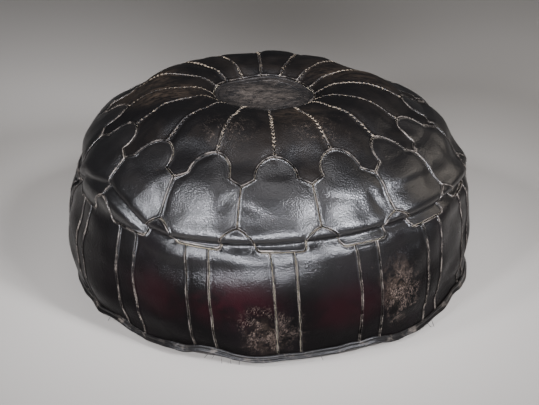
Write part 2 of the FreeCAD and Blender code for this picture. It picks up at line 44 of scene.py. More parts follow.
# Lengths in this file are millimetres until a mesh is made.
pattern = {
    "repeats": 16,
    "medallionRadius": 74.0,
    "scallopCentre": 230.0,     # out from the middle, seen from above
    "scallopRadius": 28.4,
    "scallopFoot": 86.0,        # degrees from outward
    "veeRadius": 243.0,
    "tabHeight": 176.0,
    "tabCorner": 8.0,
    "tongueHalf": 22.0,
    "tongueSpring": 191.0,
    "tongueTip": 206.0,
    "tongueCurve": 40.0,
    "stripHalf": 16.0,
    "hemHeight": 20.0,
}
stuffing = {
    # half profile from the top's middle, over the crest and the belly, to the flat foot
    "profile": [(0, 288.5), (30, 288.5), (62, 288.6), (74, 289.2), (84, 293.0), (98, 297.4), (118, 300.4),
                (137, 300.8), (160, 296), (180, 286.5), (202, 273), (222, 260.5), (243, 247), (262, 232),
                (275.5, 216), (284.5, 201), (288.5, 189), (289.5, 180), (292, 171), (296.5, 160),
                (299.8, 149), (302.2, 135), (304, 114), (304.5, 92), (303, 70), (300, 48), (296, 30),
                (292.5, 20), (288, 11), (281, 4), (272, 0.8), (262, 0.2)],
    "facing": -93.9,            # direction that the front faces, degrees
    "twist": 1.85,              # how far the side has turned at the hem, degrees
    "lean": 5.0,                # how far the belly has slumped to one side
}
turn = 2 * math.pi / pattern["repeats"]


# ---- the stuffed surface

def spline(points, perSpan=24):
    # centripetal curve through hand-set points
    pts = np.array([2 * np.array(points[0]) - np.array(points[1])] + [list(p) for p in points]
                   + [2 * np.array(points[-1]) - np.array(points[-2])], float)
    out = []
    for i in range(1, len(pts) - 2):
        p0, p1, p2, p3 = pts[i - 1:i + 3]
        k = [0.0]
        for a, b in ((p0, p1), (p1, p2), (p2, p3)):
            k.append(k[-1] + max(np.linalg.norm(b - a), 1e-6) ** 0.5)
        u = np.linspace(k[1], k[2], perSpan, endpoint=False)[:, None]
        a1 = (k[1] - u) / (k[1] - k[0]) * p0 + (u - k[0]) / (k[1] - k[0]) * p1
        a2 = (k[2] - u) / (k[2] - k[1]) * p1 + (u - k[1]) / (k[2] - k[1]) * p2
        a3 = (k[3] - u) / (k[3] - k[2]) * p2 + (u - k[2]) / (k[3] - k[2]) * p3
        b1 = (k[2] - u) / (k[2] - k[0]) * a1 + (u - k[0]) / (k[2] - k[0]) * a2
        b2 = (k[3] - u) / (k[3] - k[1]) * a2 + (u - k[1]) / (k[3] - k[1]) * a3
        out.append((k[2] - u) / (k[2] - k[1]) * b1 + (u - k[1]) / (k[2] - k[1]) * b2)
    out.append(pts[-2][None])
    return np.concatenate(out)


curve = spline(stuffing["profile"])
curveLength = np.concatenate([[0], np.cumsum(np.linalg.norm(np.diff(curve, axis=0), axis=1))])
rimIndex = int(np.argmax(curve[:, 0]))


def profileAt(t):
    return np.interp(t, curveLength, curve[:, 0]), np.interp(t, curveLength, curve[:, 1])


def atRadius(r):
    # distance along the profile at a radius, on the top
    return np.interp(r, curve[:rimIndex, 0], curveLength[:rimIndex])


def atHeight(z):
    # distance along the profile at a height, outside the crest
    start = int(np.argmax(curve[:, 1]))
    return np.interp(-np.asarray(z, float), -curve[start:, 1], curveLength[start:])


footEnd = curveLength[-1]
hemAt = float(atHeight(pattern["hemHeight"]))


def bump(x, middle, width):
    return np.exp(-((x - middle) / width) ** 2)


def fromFront(theta):
    # degrees round from the front, positive to the right
    a = np.degrees(theta) - stuffing["facing"]
    return (a + 180.0) % 360.0 - 180.0


def waves(points, length, seed, count=20):
    # smooth bumps about one unit high, with hills about `length` apart
    g = np.random.default_rng(seed)
    k = g.normal(size=(count, 3))
    wanted = 2 * math.pi / length * g.uniform(0.6, 1.25, size=(count, 1))
    k *= wanted / np.linalg.norm(k, axis=1)[:, None]
    phase = g.uniform(0, 2 * math.pi, count)
    return np.sin(points @ k.T + phase).sum(axis=1) / math.sqrt(count / 2)


def creaseHeight(a):
    # the fold under the crown's roll, by degrees from the front
    knots = [(-180, 176), (-130, 166), (-102, 156), (-87, 153), (-77, 174), (-67, 204), (-52, 217),
             (-42, 203), (-34, 185), (-26, 179), (-8, 182), (9, 185), (30, 187), (41, 187), (58, 187),
             (71, 183), (84, 177), (97, 166), (120, 168), (150, 176), (180, 176)]
    x, y = zip(*knots)
    return np.interp(a, x, y)


dents = [
    # degrees from the front, height, half sizes across and down, lean in degrees, depth
    (-11.5, 229, 9, 17, 25, -2.6), (-19, 214, 22, 7, -18, 1.4), (-4, 226, 26, 6, 20, -1.5),
    (3, 236, 24, 5, 8, 1.3), (17, 216, 20, 9, -25, 1.5), (22, 231, 24, 5, 18, -1.4),
    (33, 222, 8, 20, -20, -2.0), (-31, 232, 7, 24, -22, -1.8), (-38, 222, 9, 22, 30, 1.5),
    (60, 272, 14, 9, 40, -3.2), (66, 262, 8, 20, -30, 2.0), (74, 240, 9, 24, 20, -2.2),
    (-12, 78, 26, 9, 12, -1.2), (14, 66, 26, 7, -10, 1.1), (30, 118, 22, 8, 20, -1.2),
    (-30, 60, 24, 9, -14, 1.1), (120, 220, 14, 22, 25, -2.4), (152, 226, 20, 12, -20, 2.0),
    (-120, 218, 16, 20, 30, -2.4), (-152, 214, 20, 12, -15, -2.0), (100, 100, 20, 10, 15, -1.5),
    (-110, 90, 24, 10, -15, 1.5), (170, 80, 24, 12, 10, -1.5),
]


def dentDepth(a, t, r):
    total = np.zeros_like(r)
    for angle, height, across, down, lean, depth in dents:
        x = np.radians((a - angle + 180) % 360 - 180) * r
        y = t - atHeight(height)
        c, n = math.cos(math.radians(lean)), math.sin(math.radians(lean))
        total += depth * np.exp(-((x * c + y * n) / across) ** 2 - ((y * c - x * n) / down) ** 2)
    return total * (r > 150)


def hemWave(theta):
    a = fromFront(theta)
    total = -1.6 + 1.5 * np.sin(9 * theta + 0.6) + 1.2 * np.sin(13 * theta + 2.1)
    total = total + 1.0 * np.sin(21 * theta + 4.0)
    total = total + 5.5 * bump(a, 27, 5) - 3.5 * bump(a, 36, 6) + 3.5 * bump(a, 66, 8) - 2.5 * bump(a, -34, 7)
    return total + 2.5 * bump(a, -48, 6) - 2.0 * bump(a, -4, 10)


def restSurface(theta, t):
    a = fromFront(theta)
    # on the left the cover has slid down a little
    r, z = profileAt(t + 9 * bump(a, -86, 34) * bump(profileAt(t)[1], 192, 34) * (t > 240))
    onSide = 1 / (1 + np.exp((z - 178) / 6))
    twist = math.radians(stuffing["twist"]) * np.clip((172 - z) / 150, 0, 1)
    # roll over the crease, and the crease itself
    fold = creaseHeight(a)
    rimmed = r > 240
    depth = 1 - 0.4 * bump(a, -62, 22)
    r = r + rimmed * ((5.0 + 3.0 * bump(a, 70, 30)) * bump(z, fold + 15, 11)
                      - 7.5 * depth * bump(z, fold - 1, 4.4) + 2.5 * bump(z, fold - 17, 10))
    # slumps: the right of the crown hangs over, the left of it is drawn in
    drawnIn = bump(a, -84, 34)
    r = r + rimmed * (4.5 * bump(a, 85, 34) * bump(z, 190, 22) + 11.0 * bump(a, 96, 34) * bump(z, 240, 20)
                      - 15.0 * drawnIn * bump(z, 184, 26) - 6.0 * drawnIn * bump(z, 146, 22))
    r = r - rimmed * 4.0 * bump(a, 47, 9) * bump(z, 224, 6)
    low = np.clip((60 - z) / 45, 0, 1) * rimmed
    r = r + low * (-4.0 * bump(a, -62, 30) - 2.0)
    r = r + np.clip((42 - z) / 28, 0, 1) * rimmed * 13.0 * bump(a, 80, 45)
    r = r + dentDepth(a, t, r)
    # the hem rises and falls; the disc in the top leans back
    z = z + hemWave(theta) * bump(z, 20, 13) * rimmed
    back = -np.cos(np.radians(a)) * r
    z = z - np.clip((122 - r) / 45, 0, 1) * (1.2 + 3.6 * back / 74)
    slump = stuffing["lean"] * onSide
    side = theta + twist
    facing = math.radians(stuffing["facing"])
    p = np.stack([r * np.cos(side), r * np.sin(side), z], axis=-1)
    p[..., 0] += -math.sin(facing) * slump
    p[..., 1] += math.cos(facing) * slump
    # soft unevenness of the wadding
    flat = p.reshape(-1, 3)
    body = np.clip((flat[:, 2] - 6) / 30, 0, 1)
    lumps = (1.5 * waves(flat, 190, 3) + 0.9 * waves(flat, 75, 5)) * body
    out = flat / np.maximum(np.linalg.norm(flat * [1, 1, 0.6], axis=1), 1)[:, None]
    return (flat + out * lumps[:, None]).reshape(p.shape)


# Displacement that the cloth run adds, on an even grid over angle and distance.
grid = {"around": 400, "down": 112, "start": 24.0}
gridMove = np.zeros((grid["around"], grid["down"], 3))


def cubicWeights(f):
    return np.stack([-0.5 * f + f ** 2 - 0.5 * f ** 3, 1 - 2.5 * f ** 2 + 1.5 * f ** 3,
                     0.5 * f + 2 * f ** 2 - 1.5 * f ** 3, -0.5 * f ** 2 + 0.5 * f ** 3])


def surface(theta, t):
    theta, t = np.broadcast_arrays(np.asarray(theta, float), np.asarray(t, float))
    p = restSurface(theta, t)
    around = (theta / (2 * math.pi) * grid["around"]) % grid["around"]
    down = np.clip((t - grid["start"]) / (footEnd - grid["start"]), 0, 1) * (grid["down"] - 1)
    i, j = np.floor(around).astype(int), np.minimum(np.floor(down).astype(int), grid["down"] - 2)
    wi, wj = cubicWeights(around - i), cubicWeights(down - j)
    for a in range(4):
        for b in range(4):
            jj = np.clip(j + b - 1, 0, grid["down"] - 1)
            p = p + (wi[a] * wj[b])[..., None] * gridMove[(i + a - 1) % grid["around"], jj]
    return p


def normalAt(theta, t, reach=1.2):
    r = np.maximum(profileAt(t)[0], 8.0)
    dt = np.full_like(t, reach)
    across = surface(theta + reach / r, t) - surface(theta - reach / r, t)
    along = surface(theta, np.minimum(t + dt, footEnd)) - surface(theta, np.maximum(t - dt, 0))
    n = np.cross(along, across)
    n /= np.maximum(np.linalg.norm(n, axis=-1), 1e-9)[..., None]
    return n


# ---- seams, as lists of (angle, distance down the profile)

def planPoint(x, y, middle):
    return middle + math.atan2(y, x), float(atRadius(math.hypot(x, y)))


def wallPoint(y, z, middle):
    t = float(atHeight(z))
    return middle + math.asin(y / float(profileAt(t)[0])), t


def dense(points, step=2.0):
    # the same path with points about `step` apart
    pts = np.array(points, float)
    r = profileAt(pts[:, 1])[0]
    out = []
    for k in range(len(pts) - 1):
        across = (pts[k + 1, 0] - pts[k, 0]) * (r[k] + r[k + 1]) / 2
        n = max(1, int(round(math.hypot(across, pts[k + 1, 1] - pts[k, 1]) / step)))
        for f in np.arange(n) / n:
            out.append(pts[k] * (1 - f) + pts[k + 1] * f)
    out.append(pts[-1])
    return np.array(out)


def scallop(middle, side):
    # from the top of the scallop round one side to the vee
    p = pattern
    foot = math.radians(p["scallopFoot"])
    angles = np.linspace(math.pi, foot, 15)
    pts = [planPoint(p["scallopCentre"] + p["scallopRadius"] * math.cos(a),
                     side * p["scallopRadius"] * math.sin(a), middle) for a in angles]
    half = turn / 2
    vee = (p["veeRadius"] * math.cos(half), side * p["veeRadius"] * math.sin(half))
    pts.append(planPoint(*vee, middle))
    return pts


def arch(middle, side):
    # tongue edge round `middle`: tip, arch, neck and the rounded tab corner
    p = pattern
    rise, half = p["tongueTip"] - p["tongueSpring"], p["tongueHalf"]
    chord = math.hypot(half, rise)
    sag = p["tongueCurve"] - math.sqrt(p["tongueCurve"] ** 2 - (chord / 2) ** 2)
    pts = []
    for f in np.linspace(0, 1, 9):
        lift = 4 * sag * f * (1 - f)
        pts.append((half * f + lift * rise / chord, p["tongueTip"] - rise * f + lift * half / chord))
    pts.append((half, p["tabHeight"] + p["tabCorner"]))
    corner = p["tabCorner"]
    for a in np.linspace(0, math.pi / 2, 6)[1:]:
        pts.append((half + corner * (1 - math.cos(a)), p["tabHeight"] + corner * (1 - math.sin(a))))
    return [wallPoint(side * y, z, middle) for y, z in pts]


def stripEdge(middle, side):
    return [wallPoint(side * pattern["stripHalf"], z, middle)
            for z in np.linspace(pattern["tabHeight"], pattern["hemHeight"], 12)]


tabAt = float(atHeight(pattern["tabHeight"]))
medallionAt = float(atRadius(pattern["medallionRadius"]))
scallopTopAt = float(atRadius(pattern["scallopCentre"] - pattern["scallopRadius"]))
veeAt = float(atRadius(pattern["veeRadius"]))
tipAt = float(atHeight(pattern["tongueTip"]))


def petalOutline():
    half = turn / 2
    right = [(-half, medallionAt), (-half, scallopTopAt)] + [(a - half, t) for a, t in scallop(0, 1)[1:]]
    left = [(-a, t) for a, t in reversed(right)]
    inner = [(a, medallionAt) for a in np.linspace(half, -half, 9)]
    return right + left[1:] + inner[1:-1]


def crownOutline():
    half = turn / 2
    top = list(reversed(scallop(0, 1)))
    top += scallop(0, -1)[1:]
    down = [(-half, tipAt)] + [(a - half, t) for a, t in arch(0, 1)[1:]]
    across = [(-a, t) for a, t in reversed(down)]
    return top + down + across[:-1] + [(half, tipAt)]


def sideOutline():
    half = turn / 2
    right = [(-a, t) for a, t in arch(0, 1)]           # tip down the left edge
    left = [(a, t) for a, t in arch(0, 1)]
    stripLeft = [(a - half, t) for a, t in stripEdge(0, 1)]
    stripRight = [(-a, t) for a, t in reversed(stripLeft)]
    return right + stripLeft + stripRight + list(reversed(left))[:-1]


def stripOutline():
    right = stripEdge(0, 1)
    left = [(-a, t) for a, t in reversed(right)]
    return right + left


def seamPaths():
    paths = [[(a, medallionAt) for a in np.linspace(0, 2 * math.pi, 200)]]
    for k in range(pattern["repeats"]):
        m, h = k * turn, (k + 0.5) * turn
        paths.append([(m, medallionAt), (m, scallopTopAt)])
        for side in (1, -1):
            paths.append(scallop(m, side))
            edge = arch(h, side)
            paths.append(edge)
            paths.append([edge[-1], (h + side * turn / 2, tabAt)])
            paths.append(stripEdge(m, side))
        paths.append([(h, veeAt), (h, tipAt)])
    paths.append([(a, hemAt) for a in np.linspace(0, 2 * math.pi, 400)])
    return paths


print("seams")
seamPoints, seamAlong = [], []
total = 0.0
for path in seamPaths():
    pts = dense(path, 1.0)
    xyz = restSurface(pts[:, 0], pts[:, 1])
    steps = np.concatenate([[0], np.cumsum(np.linalg.norm(np.diff(xyz, axis=0), axis=1))])
    seamPoints.append(xyz)
    seamAlong.append(steps + total)
    total += steps[-1] + 50.0
seamPoints, seamAlong = np.concatenate(seamPoints), np.concatenate(seamAlong)
seamTree = KDTree(len(seamPoints))
for index, point in enumerate(seamPoints):
    seamTree.insert(point, index)
seamTree.balance()


def nearestSeam(points):
    far, along = np.empty(len(points)), np.empty(len(points))
    for k, point in enumerate(points):
        _, index, distance = seamTree.find(point)
        far[k], along[k] = distance, seamAlong[index]
    return far, along


# ---- cloth run: the leather swells between its seams

clothRun = {
    "frames": 18,
    "fabric": {"quality": 4, "mass": 0.35, "tension_stiffness": 60, "compression_stiffness": 60,
               "shear_stiffness": 30, "bending_stiffness": 4, "air_damping": 4, "use_pressure": True,
               "uniform_pressure_force": 4.0, "shrink_min": -0.008, "shrink_max": 0.03},
    "keep": 0.45,               # share of the swelling that stays
    "cap": 4.0,                 # most that any spot may move
}


def meshFrom(name, points, faces):
    mesh = bpy.data.meshes.new(name)
    mesh.from_pydata([tuple(p) for p in points], [], [tuple(f) for f in faces])
    mesh.polygons.foreach_set("use_smooth", [True] * len(mesh.polygons))
    mesh.update()
    return mesh


def link(obj):
    bpy.context.scene.collection.objects.link(obj)
    return obj


def swell():
    global gridMove
    na, nd = grid["around"], grid["down"]
    theta = np.arange(na) * 2 * math.pi / na
    t = np.linspace(grid["start"], footEnd, nd)
    tt, aa = np.meshgrid(t, theta)
    start = restSurface(aa, tt)
    flat = start.reshape(-1, 3)
    points = np.concatenate([flat, [[0, 0, flat[0, 2]], [0, 0, 0]]])
    faces = []
    for i in range(na):
        n = (i + 1) % na
        for j in range(nd - 1):
            faces.append((i * nd + j, i * nd + j + 1, n * nd + j + 1, n * nd + j))
        faces.append((len(flat), i * nd, n * nd))
        faces.append((len(flat) + 1, n * nd + nd - 1, i * nd + nd - 1))
    obj = link(bpy.data.objects.new("coverCloth", meshFrom("coverCloth", points * mm, faces)))
    far, _ = nearestSeam(flat)
    held = obj.vertex_groups.new(name="held")
    held.add([int(k) for k in np.nonzero(points[:, 2] < 3)[0]], 1.0, "REPLACE")
    seams = obj.vertex_groups.new(name="seams")
    for k, weight in enumerate(np.exp(-(far / 4.5) ** 2)):
        if weight > 0.02:
            seams.add([k], float(weight), "REPLACE")
    cloth = obj.modifiers.new("cloth", "CLOTH").settings
    for key, value in clothRun["fabric"].items():
        setattr(cloth, key, value)
    cloth.vertex_group_mass = "held"
    cloth.vertex_group_shrink = "seams"
    cloth.effector_weights.gravity = 0
    obj.modifiers["cloth"].point_cache.frame_end = clothRun["frames"] + 2
    scene = bpy.context.scene
    for step in range(1, clothRun["frames"] + 1):
        scene.frame_set(step)
    done = bpy.data.meshes.new_from_object(obj.evaluated_get(bpy.context.evaluated_depsgraph_get()))
    after = np.empty(len(points) * 3)
    done.vertices.foreach_get("co", after)
    scene.frame_set(1)
    bpy.data.objects.remove(obj)
    moved = after.reshape(-1, 3)[:len(flat)] / mm - flat
    moved = moved.reshape(na, nd, 3)
    # keep the swelling between seams, and leave the overall form as it was
    broad = moved.copy()
    for _ in range(60):
        broad = (np.roll(broad, 1, 0) + np.roll(broad, -1, 0) + 2 * broad) / 4
        inner = (broad[:, :-2] + broad[:, 2:] + 2 * broad[:, 1:-1]) / 4
        broad[:, 1:-1] = inner
    local = moved - broad
    size = np.linalg.norm(local, axis=2)
    soft = clothRun["cap"] * np.tanh(clothRun["keep"] * size / clothRun["cap"])
    soft *= np.interp(t, [tabAt - 40, tabAt + 20], [1.0, 0.45])[None]    # the side is pulled smoother
    local *= (soft / np.maximum(size, 1e-6))[..., None]
    for _ in range(2):
        local = (np.roll(local, 1, 0) + np.roll(local, -1, 0) + 2 * local) / 4
        local[:, 1:-1] = (local[:, :-2] + local[:, 2:] + 2 * local[:, 1:-1]) / 4
    fade = np.clip((footEnd - t - 6) / 20, 0, 1)[None, :, None] * np.clip((t - 30) / 20, 0, 1)[None, :, None]
    gridMove = local * fade
    kept = np.linalg.norm(gridMove, axis=2).max()
    print("cloth moved", np.abs(moved).max().round(2), "kept", kept.round(2))


swell()


# ---- finishes

def linear(hexColour):
    parts = [int(hexColour[i:i + 2], 16) / 255 for i in (1, 3, 5)]
    return [c / 12.92 if c <= 0.04045 else ((c + 0.055) / 1.055) ** 2.4 for c in parts] + [1.0]


def addNode(tree, kind, settings=(), links=(), **values):
    # a node, its own settings, what feeds its sockets, and input values by name
    made = tree.nodes.new(kind)
    for key, value in dict(settings).items():
        setattr(made, key, value)
    for key, value in values.items():
        made.inputs[key].default_value = value
    for socket, source in dict(links).items():
        tree.links.new(source, made.inputs[socket])
    return made


def newMaterial(name):
    material = bpy.data.materials.new(name)
    material.use_nodes = True
    tree = material.node_tree
    tree.nodes.clear()
    surfaceNode = addNode(tree, "ShaderNodeBsdfPrincipled")
    addNode(tree, "ShaderNodeOutputMaterial", links={"Surface": surfaceNode.outputs[0]})
    return material, tree, surfaceNode


def noise(tree, coords, size, detail=2.0, distortion=0.0, rough=0.5, seed=0.0, stretch=None, lean=0):
    # `size` is the width of one bump in millimetres
    if stretch or seed:
        mapping = addNode(tree, "ShaderNodeMapping", {"vector_type": "TEXTURE" if lean else "POINT"},
                          {"Vector": coords})
        mapping.inputs["Rotation"].default_value = (0, math.radians(lean), 0)
        mapping.inputs["Location"].default_value = (seed, seed * 0.7, -seed * 0.4)
        mapping.inputs["Scale"].default_value = stretch or (1, 1, 1)
        coords = mapping.outputs[0]
    return addNode(tree, "ShaderNodeTexNoise", links={"Vector": coords}, Scale=1000 / size, Detail=detail,
                   Distortion=distortion, Roughness=rough).outputs["Fac"]


def ramp(tree, value, low, high, toLow=0.0, toHigh=1.0):
    made = addNode(tree, "ShaderNodeMapRange", {"interpolation_type": "SMOOTHSTEP"}, {"Value": value})
    for key, number in (("From Min", low), ("From Max", high), ("To Min", toLow), ("To Max", toHigh)):
        made.inputs[key].default_value = number
    return made.outputs[0]


def maths(tree, operation, a, b):
    made = addNode(tree, "ShaderNodeMath", {"operation": operation})
    for socket, value in zip(made.inputs, (a, b)):
        if isinstance(value, (int, float)):
            socket.default_value = value
        else:
            tree.links.new(value, socket)
    return made.outputs[0]


def mixColour(tree, factor, a, b):
    made = addNode(tree, "ShaderNodeMix", {"data_type": "RGBA"})
    tree.links.new(factor, made.inputs["Factor"])
    for socket, value in ((made.inputs[6], a), (made.inputs[7], b)):
        if isinstance(value, str):
            socket.default_value = linear(value)
        else:
            tree.links.new(value, socket)
    return made.outputs[2]


def patchMask(tree, coords, patches):
    # soft-edged ovals on the surface: centre and half sizes in millimetres, strength
    total = None
    for x, y, z, sx, sy, sz, strength in patches:
        mapping = addNode(tree, "ShaderNodeMapping", {"vector_type": "TEXTURE"}, {"Vector": coords})
        mapping.inputs["Location"].default_value = (x * mm, y * mm, z * mm)
        mapping.inputs["Scale"].default_value = (sx * mm, sy * mm, sz * mm)
        far = addNode(tree, "ShaderNodeVectorMath", {"operation": "LENGTH"}, {0: mapping.outputs[0]})
        one = ramp(tree, far.outputs["Value"], 1.0, 0.2, 0.0, strength)
        total = one if total is None else maths(tree, "MAXIMUM", total, one)
    return total


def leather(name, look):
    material, tree, skin = newMaterial(name)
    coords = addNode(tree, "ShaderNodeTexCoord").outputs["Object"]
    seam = addNode(tree, "ShaderNodeAttribute", {"attribute_name": "seam"}).outputs["Fac"]
    # dye: black laid over brown, thinner in broad clouds
    cloud = noise(tree, coords, look["cloud"], 3, 0.6, 0.6)
    colour = mixColour(tree, ramp(tree, cloud, 0.42, 0.72), look["dye"], look["under"])
    # painted reflection: a dark red sheen, laid into the colour in soft patches on the middle of the side
    if look.get("paintedReflection"):
        colour = mixColour(tree, maths(tree, "MULTIPLY", patchMask(tree, coords, look["paintedReflection"]),
                                       ramp(tree, noise(tree, coords, 60, 3, 0.4, 0.6, 3.1), 0.3, 0.6)),
                           colour, look["paintedReflectionColour"])
    if look.get("stain"):
        worn = maths(tree, "MULTIPLY", patchMask(tree, coords, look["stain"]),
                     ramp(tree, noise(tree, coords, 13, 7, 0.8, 0.72, 1.9, (1, 2.2, 1)), 0.40, 0.66))
        worn = maths(tree, "MULTIPLY", worn, look["stainAmount"])
        colour = mixColour(tree, worn, colour, look["stainColour"])
    # gloss, and rubbed patches: fine streaks where the dye has gone
    rough = ramp(tree, noise(tree, coords, 22, 4, 0.3, 0.65, 1.7), 0.3, 0.7, *look["gloss"])
    if look.get("rubbed"):
        streak = noise(tree, coords, look["streak"], 3, 0.5, 0.55, 5.3, look.get("grainWay"),
                       look.get("grainTurn", 0))
        thin = maths(tree, "ABSOLUTE", maths(tree, "SUBTRACT", streak, 0.5), 0.0)
        area = patchMask(tree, coords, look["rubbed"])
        broken = ramp(tree, noise(tree, coords, 16, 4, 0.4, 0.7, 7.7), 0.38, 0.62)
        broken = maths(tree, "MULTIPLY", broken, area)
        line = ramp(tree, maths(tree, "SUBTRACT", thin, maths(tree, "MULTIPLY", broken, 0.012)), 0.012, 0.0)
        rub = maths(tree, "MULTIPLY", line, ramp(tree, broken, 0.05, 0.5))
        colour = mixColour(tree, maths(tree, "MULTIPLY", rub, look["rubAmount"]), colour, look["rubColour"])
        rough = maths(tree, "ADD", rough, maths(tree, "MULTIPLY", rub, 0.16))
    # light scratches everywhere
    scratch = noise(tree, coords, 9, 6, 2.2, 0.75, 9.1, (0.25, 1, 1))
    scratched = maths(tree, "MULTIPLY", ramp(tree, scratch, 0.66, 0.76), look["scratch"])
    colour = mixColour(tree, scratched, colour, look["rubColour"])
    # the two turned edges of a seam are painted pale, partly wear and partly a painted highlight along their
    # raised crests, and the line between them stays dark
    crest = maths(tree, "MULTIPLY", ramp(tree, seam, 0.4, 1.0), ramp(tree, seam, 2.0, 1.2))
    patchy = ramp(tree, noise(tree, coords, 14, 5, 0.5, 0.7, 2.2), look["edgeFrom"], look["edgeFrom"] + 0.22)
    edgeWearAndHighlight = maths(tree, "MULTIPLY", maths(tree, "MULTIPLY", crest, patchy), look["edgeWearAndHighlightAmount"])
    colour = mixColour(tree, edgeWearAndHighlight, colour, look["edgeWearAndHighlightColour"])
    colour = mixColour(tree, ramp(tree, seam, 0.9, 0.3), colour, look["seamColour"])
    tree.links.new(colour, skin.inputs["Base Color"])
    tree.links.new(rough, skin.inputs["Roughness"])
    skin.inputs["IOR"].default_value = 1.5
    skin.inputs["Specular IOR Level"].default_value = look["shine"]
    if look.get("lowSideShade"):   # painted shade: the gloss is turned down low on the side, so the leather is dull there and hardly shows the pale floor
        height = addNode(tree, "ShaderNodeSeparateXYZ", links={"Vector": coords}).outputs["Z"]
        low, high, dull = look["lowSideShade"]
        tree.links.new(ramp(tree, height, low * mm, high * mm, dull, look["shine"]),
                       skin.inputs["Specular IOR Level"])
    # grain: round pebbles, and soft creases from use
    cell = addNode(tree, "ShaderNodeTexVoronoi", {"feature": "F1"}, {"Vector": coords},
                   Scale=1000 / look["pebble"]).outputs["Distance"]
    grainZone = ramp(tree, noise(tree, coords, 70, 2, 0.0, 0.5, 4.4), 0.35, 0.62, 0.75, 1.0)
    pebbles = maths(tree, "MULTIPLY", maths(tree, "SUBTRACT", 1.0, cell), grainZone)
    creased = noise(tree, coords, look["crease"], 5, 1.6, 0.62, 6.6, look.get("creaseWay", (1, 1, 1)))
    bumpA = addNode(tree, "ShaderNodeBump", links={"Height": pebbles}, Strength=look["grain"],
                    Distance=0.0007).outputs[0]
    bumpB = addNode(tree, "ShaderNodeBump", links={"Height": creased, "Normal": bumpA},
                    Strength=look["creased"], Distance=0.004).outputs[0]
    soft = noise(tree, coords, 38, 3, 0.8, 0.5, 8.8)
    bumpC = addNode(tree, "ShaderNodeBump", links={"Height": soft, "Normal": bumpB},
                    Strength=look["slack"], Distance=0.012).outputs[0]
    tree.links.new(bumpC, skin.inputs["Normal"])
    return material


# goat leather: thin, black over brown, with a close pebble grain and a waxed gloss
goat = {
    "cloud": 70, "dye": "#080707", "under": "#100e0d", "gloss": (0.25, 0.31), "scratch": 0.22,
    "rubColour": "#6b5747", "rubAmount": 0.6, "streak": 12,
    # pale seam edges: partly wear, partly a painted highlight along the raised edges
    "edgeFrom": 0.42, "edgeWearAndHighlightAmount": 0.6, "edgeWearAndHighlightColour": "#a0958a",
    "shine": 0.5, "pebble": 2.1, "grain": 0.55, "crease": 7, "creased": 0.07, "slack": 0.07,
    "seamColour": "#050404",
}
petalLook = dict(goat, under="#13100e", gloss=(0.38, 0.46), grain=0.5, scratch=0.4, shine=0.17,
                 edgeWearAndHighlightAmount=0.3,
                 stain=[(-146, -15, 290, 66, 46, 60, 1.0), (-185, 60, 285, 90, 70, 60, 0.7),
                        (40, -120, 295, 50, 50, 40, 0.5), (150, 60, 290, 110, 80, 60, 0.6)],
                 stainAmount=0.75, stainColour="#41362c",
                 rubbed=[(-60, -150, 290, 70, 60, 40, 0.5), (60, -150, 290, 80, 60, 40, 0.5)],
                 streak=5, rubColour="#5c5046", rubAmount=0.5, grainWay=(1, 1, 1))
crownLook = dict(goat, gloss=(0.29, 0.34), grain=0.5, shine=0.62, edgeWearAndHighlightAmount=0.45,
                 stain=[(270, 60, 220, 90, 120, 60, 0.8)], stainAmount=0.22, stainColour="#3b342e")
sideLook = dict(goat, gloss=(0.27, 0.32), grain=0.4, under="#0d0a0b", edgeWearAndHighlightAmount=0.4,
                # painted shade: the gloss fades out below 190 mm, down to almost none at 95 mm
                shine=0.52, lowSideShade=(95, 190, 0.025),
                creased=0.12, creaseWay=(0.7, 0.7, 2.0),
                # painted reflection: soft dark red patches on the middle of the side
                paintedReflection=[(-60, -290, 105, 90, 60, 55, 0.8), (-160, -250, 100, 70, 60, 50, 0.45),
                       (90, -285, 90, 80, 60, 50, 0.45)], paintedReflectionColour="#1d090d",
                stain=[(160, -262, 110, 34, 50, 50, 0.9), (-20, -300, 50, 40, 50, 40, 0.5)],
                stainAmount=0.3, stainColour="#54473d",
                rubbed=[(-22, -300, 62, 52, 60, 58, 0.85), (172, -255, 86, 44, 50, 70, 0.9),
                        (20, -300, 60, 30, 50, 60, 0.4)],
                streak=3.4, rubColour="#86756a", rubAmount=0.5, grainWay=(0.6, 0.6, 3.0), grainTurn=30)
petalLeather = leather("goatLeatherTop", petalLook)
crownLeather = leather("goatLeatherCrown", crownLook)
sideLeather = leather("goatLeatherSide", sideLook)


# ---- leather panels

edgeRows = (0.9, 1.5, 2.2, 3.2, 4.8, 7.0)    # rows of points in from a seam, to shape its turned edge


def curvedLift(d, radial):
    # height across a seam: a sunk line, a turned edge each side, then the panel
    turned = -2.3 * bump(d, 0, 0.75) + 0.8 * bump(d, 1.4, 0.7) - 0.3 * bump(d, 4.2, 2.0)
    braided = -1.6 * bump(d, 0, 0.9) + 1.0 * bump(d, 2.2, 1.2) - 0.6 * bump(d, 6.0, 2.5)
    return np.where(radial, braided, turned)


def layFlat(line):
    return np.stack([line[:, 0] * profileAt(line[:, 1])[0], line[:, 1]], axis=1)


